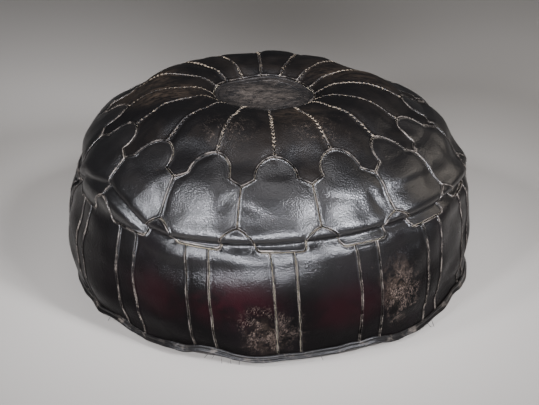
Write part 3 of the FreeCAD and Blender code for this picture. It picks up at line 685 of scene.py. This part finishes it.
def cutPanel(outline, gap=0.25, edgeStep=2.2, cell=4.2):
    # points and triangles of one panel laid flat: across by down, both in millimetres
    pts = np.array(outline, float)
    closed = np.concatenate([pts, pts[:1]])
    loop = layFlat(dense(closed, edgeStep)[:-1])
    area = 0.5 * np.sum(loop[:, 0] * np.roll(loop[:, 1], -1) - np.roll(loop[:, 0], -1) * loop[:, 1])
    tangent = np.roll(loop, -1, 0) - np.roll(loop, 1, 0)
    tangent /= np.linalg.norm(tangent, axis=1)[:, None]
    inward = np.stack([-tangent[:, 1], tangent[:, 0]], axis=1) * (1 if area > 0 else -1)
    fine = layFlat(dense(closed, 0.5))

    def toEdge(points):
        return np.sqrt(((points[:, None, :] - fine[None]) ** 2).sum(axis=2)).min(axis=1)

    edge = loop + inward * gap
    rows = []
    for depth in edgeRows:
        row = loop + inward * depth
        rows.append(row[toEdge(row) > depth * 0.93])
    low, high = loop.min(0), loop.max(0)
    ys = np.arange(low[1], high[1], cell * 0.87)
    xs = np.arange(low[0], high[0], cell)
    inner = np.array([(x + (k % 2) * cell / 2, y) for k, y in enumerate(ys) for x in xs])
    inside = np.zeros(len(inner), bool)
    for (x0, y0), (x1, y1) in zip(loop, np.roll(loop, -1, 0)):
        if y0 == y1:
            continue
        crossing = (y0 > inner[:, 1]) != (y1 > inner[:, 1])
        inside ^= crossing & (inner[:, 0] < (x1 - x0) * (inner[:, 1] - y0) / (y1 - y0) + x0)
    inner = inner[inside]
    inner = inner[toEdge(inner) > 8.8]
    every = np.concatenate([edge] + rows + [inner])
    made = delaunay_2d_cdt([Vector(p) for p in every], [], [list(range(len(edge)))], 1, 1e-4)
    points = np.array([tuple(p) for p in made[0]])
    faces = [tuple(reversed(f)) for f in made[2]]
    r = profileAt(points[:, 1])[0]
    return points[:, 0] / r, points[:, 1], faces, toEdge(points)


def leatherPiece(name, points, faces, toSeam, thickness):
    # a leather mesh in the scene: `toSeam` is each point's distance from its seam, in millimetres
    mesh = meshFrom(name, points * mm, faces)
    seam = mesh.attributes.new("seam", "FLOAT", "POINT")
    seam.data.foreach_set("value", toSeam.astype(np.float32))
    obj = link(bpy.data.objects.new(name, mesh))
    if thickness:
        solid = obj.modifiers.new("leatherThickness", "SOLIDIFY")
        solid.thickness = thickness * mm
        solid.offset = -1
    return obj


def layPanel(name, cut, angle, material, radialTest=None):
    a, t, faces, away = cut
    theta = a + angle
    base = surface(theta, t)
    normals = normalAt(theta, t)
    radial = np.zeros(len(a), bool) if radialTest is None else radialTest(a, t)
    points = base + normals * curvedLift(away, radial)[:, None]
    points[:, 2] = np.maximum(points[:, 2], 0)
    obj = leatherPiece(name, points, faces, away, 1.4)
    obj.data.materials.append(material)
    return obj


print("panels")
petalCut = cutPanel(petalOutline())
crownCut = cutPanel(crownOutline())
sideCut = cutPanel(sideOutline())
stripCut = cutPanel(stripOutline(), cell=3.8)
for kind, cut in (("petal", petalCut), ("crown", crownCut), ("side", sideCut), ("strip", stripCut)):
    print(kind, len(cut[0]), "points")


def nearRadialSeam(a, t):
    return (turn / 2 - np.abs(a)) * profileAt(t)[0] < 9


leatherPieces = []
for k in range(pattern["repeats"]):
    number = f"{k + 1:02d}"
    petal = layPanel("petalLeather" + number, petalCut, (k + 0.5) * turn, petalLeather, nearRadialSeam)
    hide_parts("petal_" + number)
    crown = layPanel("crownLeather" + number, crownCut, k * turn, crownLeather)
    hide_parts("crown_panel_" + number)
    side = layPanel("sideLeather" + number, sideCut, (k + 0.5) * turn, sideLeather)
    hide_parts("side_panel_" + number)
    strip = layPanel("sideStrip" + number, stripCut, k * turn, sideLeather)
    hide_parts("side_strips")
    leatherPieces += [petal, crown, side, strip]
for piece in leatherPieces:
    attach(piece, "pouf")


# ---- medallion: a stamped disc, sunk a little inside a raised rim

def medallion():
    reach = pattern["medallionRadius"]
    rings = np.concatenate([np.linspace(0, reach - 30, 26), np.linspace(reach - 29, reach - 0.5, 58)])
    around = 288
    theta = np.arange(around) * 2 * math.pi / around
    points, seam = [], []
    for r in rings[1:]:
        t = float(atRadius(r))
        p = surface(theta, np.full(around, t))
        edge = reach - r
        lift = (-1.6 * bump(edge, 0, 1.4) + 0.9 * bump(edge, 3.2, 1.6) - 0.9 * bump(edge, 6.4, 1.1)
                - 0.8 * bump(edge, 17, 0.9) + 0.5 * bump(edge, 15.4, 1.0) - 0.5 * bump(edge, 22, 0.8)
                - 0.6 * bump(r - 34 - 7 * np.cos(8 * theta), 0, 1.1)
                - 0.6 * bump(r - 13 - 3 * np.cos(8 * theta), 0, 1.1))
        p[:, 2] += lift
        points.append(p)
        seam.append(np.full(around, edge))
    points = np.concatenate([np.concatenate(points), [[0, 0, points[0][:, 2].mean()]]])
    seam = np.append(np.concatenate(seam), reach)
    faces = []
    for j in range(len(rings) - 2):
        for i in range(around):
            n = (i + 1) % around
            faces.append((j * around + i, (j + 1) * around + i, (j + 1) * around + n, j * around + n))
    faces += [(len(points) - 1, i, (i + 1) % around) for i in range(around)]
    return leatherPiece("medallionLeather", points, faces, seam, 1.6)


medallionLook = dict(goat, under="#1d1a18", dye="#0d0c0c", gloss=(0.46, 0.62), cloud=16, scratch=0.4,
                     shine=0.27, stain=[(0, 0, 290, 90, 90, 40, 1.0)], stainAmount=0.8, stainColour="#4b443e",
                     rubbed=[(0, 0, 290, 70, 70, 40, 0.9)], streak=5, rubColour="#4c443c", rubAmount=0.5,
                     pebble=2.2, grain=0.6, creased=0.3, crease=7)
disc = medallion()
disc.data.materials.append(leather("embossedGoatLeather", medallionLook))
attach(disc, "pouf")
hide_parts("medallion")


# ---- hem: a folded edge sewn round the foot, standing out and waving

hem = {"around": 1200, "wave": 0.7, "swing": 1.2, "size": 1.25}


def hemWelt():
    n = hem["around"]
    theta = np.arange(n) * 2 * math.pi / n
    base = surface(theta, np.full(n, hemAt))
    out = normalAt(theta, np.full(n, hemAt))
    out[:, 2] = 0
    out /= np.linalg.norm(out, axis=1)[:, None]
    g = np.random.default_rng(4)
    wave = sum(g.normal() * np.sin(k * theta + g.uniform(0, 6.28)) / (1 + k / 9) for k in range(18, 60))
    wave *= hem["wave"] / np.std(wave)
    swing = sum(g.normal() * np.sin(k * theta + g.uniform(0, 6.28)) / (1 + k / 14) for k in range(7, 50))
    swing *= hem["swing"] / np.std(swing)
    section = [(-1.5, 4.0), (0.6, 4.6), (1.9, 3.6), (2.6, 2.3), (2.2, 1.1), (2.4, 0.3), (3.6, -0.6),
               (4.4, -1.9), (4.0, -3.1), (2.6, -3.8), (0.8, -3.4), (-1.5, -2.2)]
    points = []
    for o, u in section:
        p = base + out * (o * hem["size"] + swing * (0.25 + 0.5 * (2.5 - u) / 6))[:, None]
        p[:, 2] = base[:, 2] + u * hem["size"] + wave - 1.5
        p[:, 2] = np.maximum(p[:, 2], 0.6)
        points.append(p)
    m = len(section)
    points = np.stack(points, axis=1).reshape(-1, 3)
    faces = [(i * m + j, ((i + 1) % n) * m + j, ((i + 1) % n) * m + (j + 1) % m, i * m + (j + 1) % m)
             for i in range(n) for j in range(m)]
    groove = np.tile([3.0, 2.0, 1.4, 1.5, 0.9, 0.9, 1.4, 1.6, 2.0, 3.0, 3.5, 4.0], n)
    obj = leatherPiece("hemWelt", points, faces, groove, 0)
    rounded = obj.modifiers.new("rounded", "SUBSURF")
    rounded.levels = rounded.render_levels = 1
    return obj


hemLook = dict(goat, gloss=(0.3, 0.4), edgeFrom=0.5, edgeWearAndHighlightAmount=0.4, edgeWearAndHighlightColour="#7a7168", grain=0.3,
               shine=0.22)
welt = hemWelt()
welt.data.materials.append(leather("foldedGoatLeather", hemLook))
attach(welt, "pouf")
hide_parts("hem_welt")


# ---- base, inner bag and wadding

base = {
    "rim": 262.0,
    "slit": 8.0,                # half the opening that the zip shows in
    "slitHalf": 192.0,
    "hollowDeep": 10.0,
    "hollowHalf": 43.6,
    "hollowLong": 205.0,
}


def hollow(x, y, deep, half):
    # a shallow trough along the zip, fading out past its ends
    across = np.clip(1 - (y / half) ** 2, 0, 1)
    along = np.clip((base["hollowLong"] + 14 - np.abs(x)) / 28, 0, 1)
    return deep * across * along ** 2 * (3 - 2 * along)


def basePoint(x, y, lift=0.0, deep=base["hollowDeep"], half=base["hollowHalf"]):
    # the underside, from the unrolled plan: past the rim it climbs the foot to the hem
    plan = np.hypot(x, y)
    theta = np.arctan2(y, x)
    rise = np.clip(plan - base["rim"], 0, footEnd)
    foot = surface(theta, footEnd - rise)
    rim = np.stack([base["rim"] * np.cos(theta), base["rim"] * np.sin(theta)], axis=-1)
    pull = np.clip((plan - 232) / 30, 0, 1)
    pull = pull ** 2 * (3 - 2 * pull)
    edge = surface(theta, np.full_like(theta, footEnd))
    shift = (edge[..., :2] - rim) * pull[..., None]
    height = 0.3 + lift + hollow(x, y, deep, half)
    flat = np.stack([x + shift[..., 0], y + shift[..., 1], height], axis=-1)
    return np.where((plan > base["rim"])[..., None], foot, flat)


def baseHalf(name, side):
    far = base["rim"] + footEnd - hemAt
    arc = [(far * math.cos(a), far * math.sin(a)) for a in np.linspace(0.001, math.pi - 0.001, 300)]
    slit, end = base["slit"], base["slitHalf"]
    inner = [(-far, 0.3), (-end - 6, 0.3), (-end, slit - 3), (-end + 4, slit), (end - 4, slit),
             (end, slit - 3), (end + 6, 0.3), (far, 0.3)]
    line = []
    for (x0, y0), (x1, y1) in zip(inner[:-1], inner[1:]):
        n = max(1, int(math.hypot(x1 - x0, y1 - y0) / 3))
        line += [(x0 + (x1 - x0) * k / n, y0 + (y1 - y0) * k / n) for k in range(n)]
    loop = np.array(line + [(far, 0.3)] + arc[1:-1])
    ys = np.arange(2, far, 6.0)
    rows = [(x + (k % 2) * 3, y) for k, y in enumerate(ys) for x in np.arange(-far, far, 6.5)]
    rows += [(x, slit + d) for d in (0.9, 1.8, 3, 5) for x in np.arange(-end + 5, end - 4, 3)]
    ends = np.arange(end + 9, far - 2, 3)
    rows += [(s * x, 0.3 + d) for s in (1, -1) for d in (0.9, 1.8, 3, 5) for x in ends]
    inside = np.array([(x, y) for x, y in rows
                       if math.hypot(x, y) < far - 3 and not (abs(x) < end + 7 and y < slit + 0.8)])
    every = np.concatenate([loop, inside])
    made = delaunay_2d_cdt([Vector(p) for p in every], [], [list(range(len(loop)))], 1, 1e-4)
    pts = np.array([tuple(p) for p in made[0]])
    tree = KDTree(len(line))
    for k, (x, y) in enumerate(line):
        tree.insert((x, y, 0), k)
    tree.balance()
    away = np.array([tree.find((x, y, 0))[2] for x, y in pts])
    world = basePoint(pts[:, 0], side * pts[:, 1])
    inRing = np.hypot(pts[:, 0], pts[:, 1]) < base["rim"] + 4
    world[:, 2] += np.where(inRing, 1.3 * np.exp(-(away / 1.2) ** 2), 0)
    world[:, 2] = np.maximum(world[:, 2], 0.15)
    # the underside looks down, so only the half that is mirrored keeps the plan's winding
    faces = [tuple(f) if side < 0 else tuple(reversed(f)) for f in made[2]]
    return leatherPiece(name, world, faces, away, 1.8)


baseLook = dict(goat, dye="#15110f", under="#241a15", gloss=(0.42, 0.6), grain=0.3, slack=0.2, scratch=0.25,
                cloud=120, rubbed=[(0, 200, 0, 160, 90, 60, 0.6), (-160, -120, 0, 120, 90, 60, 0.6)],
                edgeFrom=0.35, edgeWearAndHighlightAmount=0.5)
baseLeather = leather("splitCowLeather", baseLook)
for name, side, node in (("baseLeatherFront", -1, "base_half_front"),
                         ("baseLeatherBack", 1, "base_half_back")):
    half = baseHalf(name, side)
    half.data.materials.append(baseLeather)
    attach(half, "pouf")
    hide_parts(node)


def innerForm(name, inset, deep, half, around=216):
    # a closed bag that follows the cover at a steady distance inside it
    theta = np.arange(around) * 2 * math.pi / around
    rows = []
    for t in np.linspace(8, footEnd - 4, 100):
        tt = np.full(around, t)
        rows.append(surface(theta, tt) - normalAt(theta, tt, 5.0) * inset)
    for r in np.linspace(250, 6, 70):
        x, y = r * np.cos(theta), r * np.sin(theta)
        rows.append(basePoint(x, y, inset, deep - inset, half))
    for row in rows:
        row[:, 2] = np.maximum(row[:, 2], inset + 0.2)
    m = len(rows)
    middles = np.array([[0, 0, rows[0][:, 2].mean()], [0, 0, rows[-1][:, 2].mean()]])
    points = np.concatenate(rows + [middles])
    faces = []
    for i in range(around):
        n = (i + 1) % around
        for j in range(m - 1):
            faces.append((j * around + i, (j + 1) * around + i, (j + 1) * around + n, j * around + n))
        faces.append((m * around, i, n))
        faces.append((m * around + 1, (m - 1) * around + n, (m - 1) * around + i))
    return link(bpy.data.objects.new(name, meshFrom(name, points * mm, faces)))


def woven(name, colourA, colourB, thread, rough, sheen):
    # plain weave: two sets of rounded threads crossing
    material, tree, skin = newMaterial(name)
    coords = addNode(tree, "ShaderNodeTexCoord").outputs["Object"]
    ways = []
    for axis in ("X", "Y"):
        ways.append(addNode(tree, "ShaderNodeTexWave", {"bands_direction": axis}, {"Vector": coords},
                            Scale=1000 / thread / 20 * math.pi, Distortion=0.4, Detail=1.0).outputs["Fac"])
    both = maths(tree, "MAXIMUM", *ways)
    tone = ramp(tree, noise(tree, coords, 35, 3), 0.2, 0.8, 0.4, 1.0)
    colour = mixColour(tree, maths(tree, "MULTIPLY", both, tone), colourB, colourA)
    tree.links.new(colour, skin.inputs["Base Color"])
    skin.inputs["Roughness"].default_value = rough
    skin.inputs["Sheen Weight"].default_value = sheen
    raised = addNode(tree, "ShaderNodeBump", links={"Height": both}, Strength=0.6, Distance=0.0005)
    tree.links.new(raised.outputs[0], skin.inputs["Normal"])
    return material


# unbleached cotton: matt, a little fuzzy, cream with grey flecks
cotton = woven("unbleachedCotton", "#d8cdb6", "#b7a98c", 1.2, 0.9, 0.3)
# cotton wadding: loose and matt, off-white
wool = woven("cottonWadding", "#e6e0d2", "#cfc6b3", 3.0, 0.95, 0.4)
innerSizes = {"liner": (4.2, 17.4, 60), "wadding": (6.4, 19.6, 66)}    # inset, hollow's depth and half width
liner = innerForm("cottonInnerBag", *innerSizes["liner"])
liner.data.materials.append(cotton)
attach(liner, "pouf")
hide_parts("liner")
wadding = innerForm("waddingFill", *innerSizes["wadding"])
wadding.data.materials.append(wool)
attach(wadding, "pouf")
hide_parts("fill")


# ---- thread: hand stitches along the seams

threadWork = {
    "braid": {"pitch": 7.0, "length": 4.6, "thick": 1.1, "tilt": 42, "aside": 1.15},
    "edge": {"pitch": 4.8, "length": 3.2, "thick": 0.4, "tilt": 6, "aside": 1.55},
}


def stitchShape():
    # one stitch a unit long, rounded at both ends
    sides, points, faces = 6, [], []
    for x, r in ((-0.5, 0.12), (-0.36, 0.42), (0, 0.5), (0.36, 0.42), (0.5, 0.12)):
        points += [(x, r * math.cos(a), r * math.sin(a)) for a in np.arange(sides) * 2 * math.pi / sides]
    for j in range(4):
        for i in range(sides):
            n = (i + 1) % sides
            faces.append((j * sides + i, j * sides + n, (j + 1) * sides + n, (j + 1) * sides + i))
    faces.append(tuple(reversed(range(sides))))
    faces.append(tuple(range(4 * sides, 5 * sides)))
    return meshFrom("stitchShape", points, faces)


def stitchTree(name, shape, material):
    tree = bpy.data.node_groups.new(name, "GeometryNodeTree")
    face = tree.interface
    face.new_socket("Geometry", in_out="INPUT", socket_type="NodeSocketGeometry")
    starts = {"Pitch": 0.004, "Length": 0.005, "Thickness": 0.001, "Tilt": 0.5, "Slant": 0.15}
    for label, start in starts.items():
        face.new_socket(label, in_out="INPUT", socket_type="NodeSocketFloat").default_value = start
    face.new_socket("Seed", in_out="INPUT", socket_type="NodeSocketInt").default_value = 3
    face.new_socket("Geometry", in_out="OUTPUT", socket_type="NodeSocketGeometry")
    given = addNode(tree, "NodeGroupInput").outputs
    line = addNode(tree, "GeometryNodeMeshToCurve", links={"Mesh": given["Geometry"]}).outputs[0]
    even = addNode(tree, "GeometryNodeResampleCurve", {"mode": "LENGTH"},
                   {"Curve": line, "Length": given["Pitch"]}).outputs[0]
    up = addNode(tree, "GeometryNodeInputNamedAttribute", {"data_type": "FLOAT_VECTOR"}, Name="up").outputs[0]
    tangent = addNode(tree, "GeometryNodeInputTangent").outputs[0]
    facing = addNode(tree, "FunctionNodeAlignRotationToVector", {"axis": "Z"}, {"Vector": up}).outputs[0]
    along = addNode(tree, "FunctionNodeAlignRotationToVector", {"axis": "X", "pivot_axis": "Z"},
                    {"Rotation": facing, "Vector": tangent}).outputs[0]
    loose = addNode(tree, "FunctionNodeRandomValue", {"data_type": "FLOAT"}, {"Seed": given["Seed"]})
    loose.inputs[2].default_value = -1
    loose.inputs[3].default_value = 1
    wobble = addNode(tree, "ShaderNodeMath", {"operation": "MULTIPLY_ADD"},
                     {0: loose.outputs[1], 1: given["Slant"], 2: given["Tilt"]}).outputs[0]
    spin = addNode(tree, "ShaderNodeCombineXYZ", links={"Z": wobble}).outputs[0]
    turned = addNode(tree, "FunctionNodeRotateRotation", {"rotation_space": "LOCAL"},
                     {"Rotation": along, "Rotate By": spin}).outputs[0]
    size = addNode(tree, "ShaderNodeCombineXYZ",
                   links={"X": given["Length"], "Y": given["Thickness"], "Z": given["Thickness"]}).outputs[0]
    unit = addNode(tree, "GeometryNodeObjectInfo", Object=shape).outputs["Geometry"]
    placed = addNode(tree, "GeometryNodeInstanceOnPoints",
                     links={"Points": even, "Instance": unit, "Rotation": turned, "Scale": size}).outputs[0]
    real = addNode(tree, "GeometryNodeRealizeInstances", links={"Geometry": placed}).outputs[0]
    done = addNode(tree, "GeometryNodeSetMaterial", links={"Geometry": real}, Material=material).outputs[0]
    addNode(tree, "NodeGroupOutput", links={"Geometry": done})
    return tree


def stitchRow(name, lines, tree, sizes, seed):
    # `lines` are lists of (points, normals), in millimetres
    points, edges, ups = [], [], []
    for line, normals in lines:
        first = len(points)
        points += list(line)
        ups += list(normals)
        edges += [(first + k, first + k + 1) for k in range(len(line) - 1)]
    mesh = bpy.data.meshes.new(name)
    mesh.from_pydata([tuple(p * mm) for p in points], edges, [])
    up = mesh.attributes.new("up", "FLOAT_VECTOR", "POINT")
    up.data.foreach_set("vector", np.array(ups, np.float32).ravel())
    obj = link(bpy.data.objects.new(name, mesh))
    modifier = obj.modifiers.new("stitches", "NODES")
    modifier.node_group = tree
    wanted = {"Pitch": sizes["pitch"] * mm, "Length": sizes["length"] * mm, "Thickness": sizes["thick"] * mm,
              "Tilt": math.radians(sizes["tilt"]), "Seed": seed}
    for item in tree.interface.items_tree:
        if item.in_out == "INPUT" and item.name in wanted:
            modifier[item.identifier] = wanted[item.name]
    obj.update_tag()
    made = bpy.data.meshes.new_from_object(obj.evaluated_get(bpy.context.evaluated_depsgraph_get()))
    obj.modifiers.remove(modifier)
    obj.data = made
    made.polygons.foreach_set("use_smooth", [True] * len(made.polygons))
    return obj


def besideSeam(path, aside, lift, trim=0.0, step=2.0):
    # a line running beside a seam, `aside` millimetres to its right
    pts = dense(path, step)
    if trim:
        pts = pts[int(trim / step):len(pts) - int(trim / step)]
    theta, t = pts[:, 0], pts[:, 1]
    on = surface(theta, t)
    normals = normalAt(theta, t)
    run = np.gradient(on, axis=0)
    run /= np.linalg.norm(run, axis=1)[:, None]
    return on + np.cross(run, normals) * aside + normals * lift, normals


def threadFinish(name, dark, pale, mixAt, gloss):
    material, tree, skin = newMaterial(name)
    coords = addNode(tree, "ShaderNodeTexCoord").outputs["Object"]
    near = noise(tree, coords, 9, 3, 0, 0.7)
    broad = noise(tree, coords, 90, 2, 0, 0.5, 2.7)
    both = maths(tree, "ADD", maths(tree, "MULTIPLY", near, 0.6), maths(tree, "MULTIPLY", broad, 0.4))
    colour = mixColour(tree, ramp(tree, both, mixAt, mixAt + 0.14), dark, pale)
    tree.links.new(colour, skin.inputs["Base Color"])
    skin.inputs["Roughness"].default_value = gloss
    ply = addNode(tree, "ShaderNodeTexWave", {"bands_direction": "DIAGONAL"}, {"Vector": coords},
                  Scale=1000 / 0.8 / 20 * math.pi, Distortion=1.0).outputs["Fac"]
    raised = addNode(tree, "ShaderNodeBump", links={"Height": ply}, Strength=0.4, Distance=0.0003)
    tree.links.new(raised.outputs[0], skin.inputs["Normal"])
    return material


print("thread")
# waxed linen: pale where it is rubbed, dark where the leather's dye has stained it
braidThread = threadFinish("waxedLinenBraid", "#15100e", "#8a7c69", 0.46, 0.5)
edgeThread = threadFinish("waxedLinenThread", "#100d0b", "#8a8074", 0.50, 0.5)
unitStitch = bpy.data.objects.new("stitchShape", stitchShape())
braidTree = stitchTree("braidStitches", unitStitch, braidThread)
edgeTree = stitchTree("edgeStitches", unitStitch, edgeThread)
work = threadWork["braid"]
for tag, side in (("Left", -1), ("Right", 1)):
    lines = []
    for k in range(pattern["repeats"]):
        path = [(k * turn, medallionAt + 4 + (side > 0) * work["pitch"] / 2), (k * turn, scallopTopAt - 3)]
        lines.append(besideSeam(path, side * work["aside"], 0.75))
    row = stitchRow("braid" + tag, lines, braidTree, dict(work, tilt=side * work["tilt"]), 5 + side)
    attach(row, "pouf")
work = threadWork["edge"]
topLines, sideLines = [], []
for k in range(pattern["repeats"]):
    m, h = k * turn, (k + 0.5) * turn
    for side in (1, -1):
        for aside in (work["aside"], -work["aside"]):
            topLines.append(besideSeam(scallop(m, side), aside, 1.35, 3))
            sideLines.append(besideSeam(arch(h, side), aside, 1.35, 3))
            sideLines.append(besideSeam(stripEdge(m, side), aside, 1.35, 4))
    for aside in (work["aside"], -work["aside"]):
        topLines.append(besideSeam([(h, veeAt), (h, tipAt)], aside, 1.35, 4))
for name, lines, seed in (("crownStitches", topLines, 11), ("sideStitches", sideLines, 12)):
    row = stitchRow(name, lines, edgeTree, work, seed)
    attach(row, "pouf")
    print(name, len(row.data.polygons), "faces")


looseAngles = (-17.5, -16, -14.5, -12, -9.5, 12, 47, 49, -52, 101, -140, 160)    # degrees from the front


def looseEnds():
    # a few frayed ends hang from the hem
    g = np.random.default_rng(8)
    curveData = bpy.data.curves.new("looseThread", "CURVE")
    curveData.dimensions = "3D"
    curveData.bevel_depth = 0.35 * mm
    curveData.bevel_resolution = 1
    curveData.resolution_u = 5
    for a in looseAngles:
        theta = np.array([math.radians(stuffing["facing"] + a)])
        start = surface(theta, np.array([hemAt]))[0]
        out = start * [1, 1, 0] / np.linalg.norm(start[:2])
        length = g.uniform(6, 15)
        side = np.cross(out, [0, 0, 1]) * g.uniform(-0.8, 0.8)
        line = curveData.splines.new("BEZIER")
        line.bezier_points.add(2)
        for k, spot in enumerate(line.bezier_points):
            hang = np.array([0, 0, -2.5 - 0.42 * length * k])
            p = start + out * (4.5 + 2.2 * k) + side * length * 0.5 * k + hang
            p[2] = max(p[2], 0.6)
            spot.co = Vector(p * mm)
            spot.handle_left_type = spot.handle_right_type = "AUTO"
    holder = link(bpy.data.objects.new("looseThread", curveData))
    made = bpy.data.meshes.new_from_object(holder.evaluated_get(bpy.context.evaluated_depsgraph_get()))
    bpy.data.objects.remove(holder)
    obj = link(bpy.data.objects.new("looseThread", made))
    made.materials.clear()
    made.materials.append(edgeThread)
    return obj


ends = looseEnds()
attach(ends, "pouf")


# ---- zip

# solid brass teeth and slider: warm yellow, dulled brown in the recesses
def brass(name, bright, dull, rough):
    material, tree, skin = newMaterial(name)
    coords = addNode(tree, "ShaderNodeTexCoord").outputs["Object"]
    tarnish = noise(tree, coords, 3.5, 4, 0.3, 0.6)
    tree.links.new(mixColour(tree, ramp(tree, tarnish, 0.35, 0.7), bright, dull), skin.inputs["Base Color"])
    tree.links.new(ramp(tree, tarnish, 0.3, 0.7, rough, rough + 0.2), skin.inputs["Roughness"])
    skin.inputs["Metallic"].default_value = 1.0
    pitted = addNode(tree, "ShaderNodeBump", links={"Height": noise(tree, coords, 0.8, 3)}, Strength=0.15,
                     Distance=0.0002)
    tree.links.new(pitted.outputs[0], skin.inputs["Normal"])
    return material


zipFinish = {
    "zip_teeth": brass("stampedBrass", "#b8954f", "#6f5528", 0.32),
    "zip_stops": brass("crimpedBrass", "#b08d4b", "#6a5127", 0.36),
    "zip_slider": brass("castBrass", "#c09d58", "#7c6030", 0.26),
    "zip_pull": brass("polishedBrass", "#c4a25e", "#84683a", 0.22),
    "zip_tapes": woven("wovenCottonTape", "#1c1b1a", "#0e0d0d", 0.9, 0.85, 0.2),
}
for name, material in zipFinish.items():
    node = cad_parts[name]
    for place in node.material_slots:
        place.material = material


# ---- room, lights and camera

room = {"floor": "#b5b0a8", "floorPatches": "#b2ada5", "ambient": "#e4e6ea", "ambientStrength": 0.095}


def studio():
    corners = [(-4.0, -4.0, 0.0), (4.0, -4.0, 0.0), (4.0, 4.0, 0.0), (-4.0, 4.0, 0.0)]    # metres
    floorMesh = meshFrom("floorSheet", corners, [(0, 1, 2, 3)])
    floorSheet = link(bpy.data.objects.new("floorSheet", floorMesh))
    material, tree, skin = newMaterial("palePaintedFloor")
    coords = addNode(tree, "ShaderNodeTexCoord").outputs["Object"]
    colour = mixColour(tree, noise(tree, coords, 400, 3), room["floor"], room["floorPatches"])
    tree.links.new(colour, skin.inputs["Base Color"])
    skin.inputs["Roughness"].default_value = 0.6
    floorMesh.materials.append(material)
    world = bpy.data.worlds.new("softRoom")
    bpy.context.scene.world = world
    world.use_nodes = True
    background = world.node_tree.nodes["Background"]
    background.inputs["Color"].default_value = linear(room["ambient"])
    background.inputs["Strength"].default_value = room["ambientStrength"]


lights = [
    # name, degrees round from the front, height angle, distance, width and height, watts, spread, colour
    ("overhead", 0, 84, 2.4, (0.9, 0.6), 4.4, 120, "#fdfbff"),
    ("topLeft", -52, 42, 2.2, (0.36, 0.3), 1.2, 30, "#f5f7ff"),
    ("topRight", 40, 44, 2.2, (0.36, 0.3), 1.6, 30, "#f5f7ff"),
    ("frontWide", -2, 12, 3.0, (1.7, 0.46), 13, 38, "#f3f5ff"),
    ("frontLeft", -33, 21, 3.0, (0.42, 0.36), 3.6, 30, "#f3f5ff"),
    ("frontRight", 46, 26, 3.0, (0.5, 0.6), 5.6, 30, "#f3f5ff"),
    ("rightWindow", 112, 26, 2.4, (0.8, 0.8), 2.7, 120, "#fff3e4"),
]


def towards(bearing, up):
    # a unit vector from degrees round from the front and degrees up
    a, e = math.radians(stuffing["facing"] + bearing), math.radians(up)
    return Vector((math.cos(a) * math.cos(e), math.sin(a) * math.cos(e), math.sin(e)))


def addLights():
    aim = Vector((0, 0, 0.2))
    for name, bearing, up, far, size, watts, spread, colour in lights:
        data = bpy.data.lights.new(name, "AREA")
        data.shape = "RECTANGLE"
        data.size, data.size_y = size
        data.energy = watts
        data.spread = math.radians(spread)
        data.color = linear(colour)[:3]
        lamp = link(bpy.data.objects.new(name, data))
        away = towards(bearing, up)
        lamp.location = aim + away * far
        lamp.rotation_euler = (-away).to_track_quat("-Z", "Y").to_euler()


view = {"lens": 89.15, "shift": (0.0091, -0.0557), "up": 24.3, "aim": (0, 0, 0.159), "far": 2.016}


def addCamera():
    data = bpy.data.cameras.new("camera")
    data.lens = view["lens"]
    data.shift_x, data.shift_y = view["shift"]
    data.clip_end = 50
    camera = link(bpy.data.objects.new("camera", data))
    away = towards(0, view["up"])
    camera.location = Vector(view["aim"]) + away * view["far"]
    camera.rotation_euler = (-away).to_track_quat("-Z", "Y").to_euler()
    bpy.context.scene.camera = camera


studio()
addLights()
addCamera()
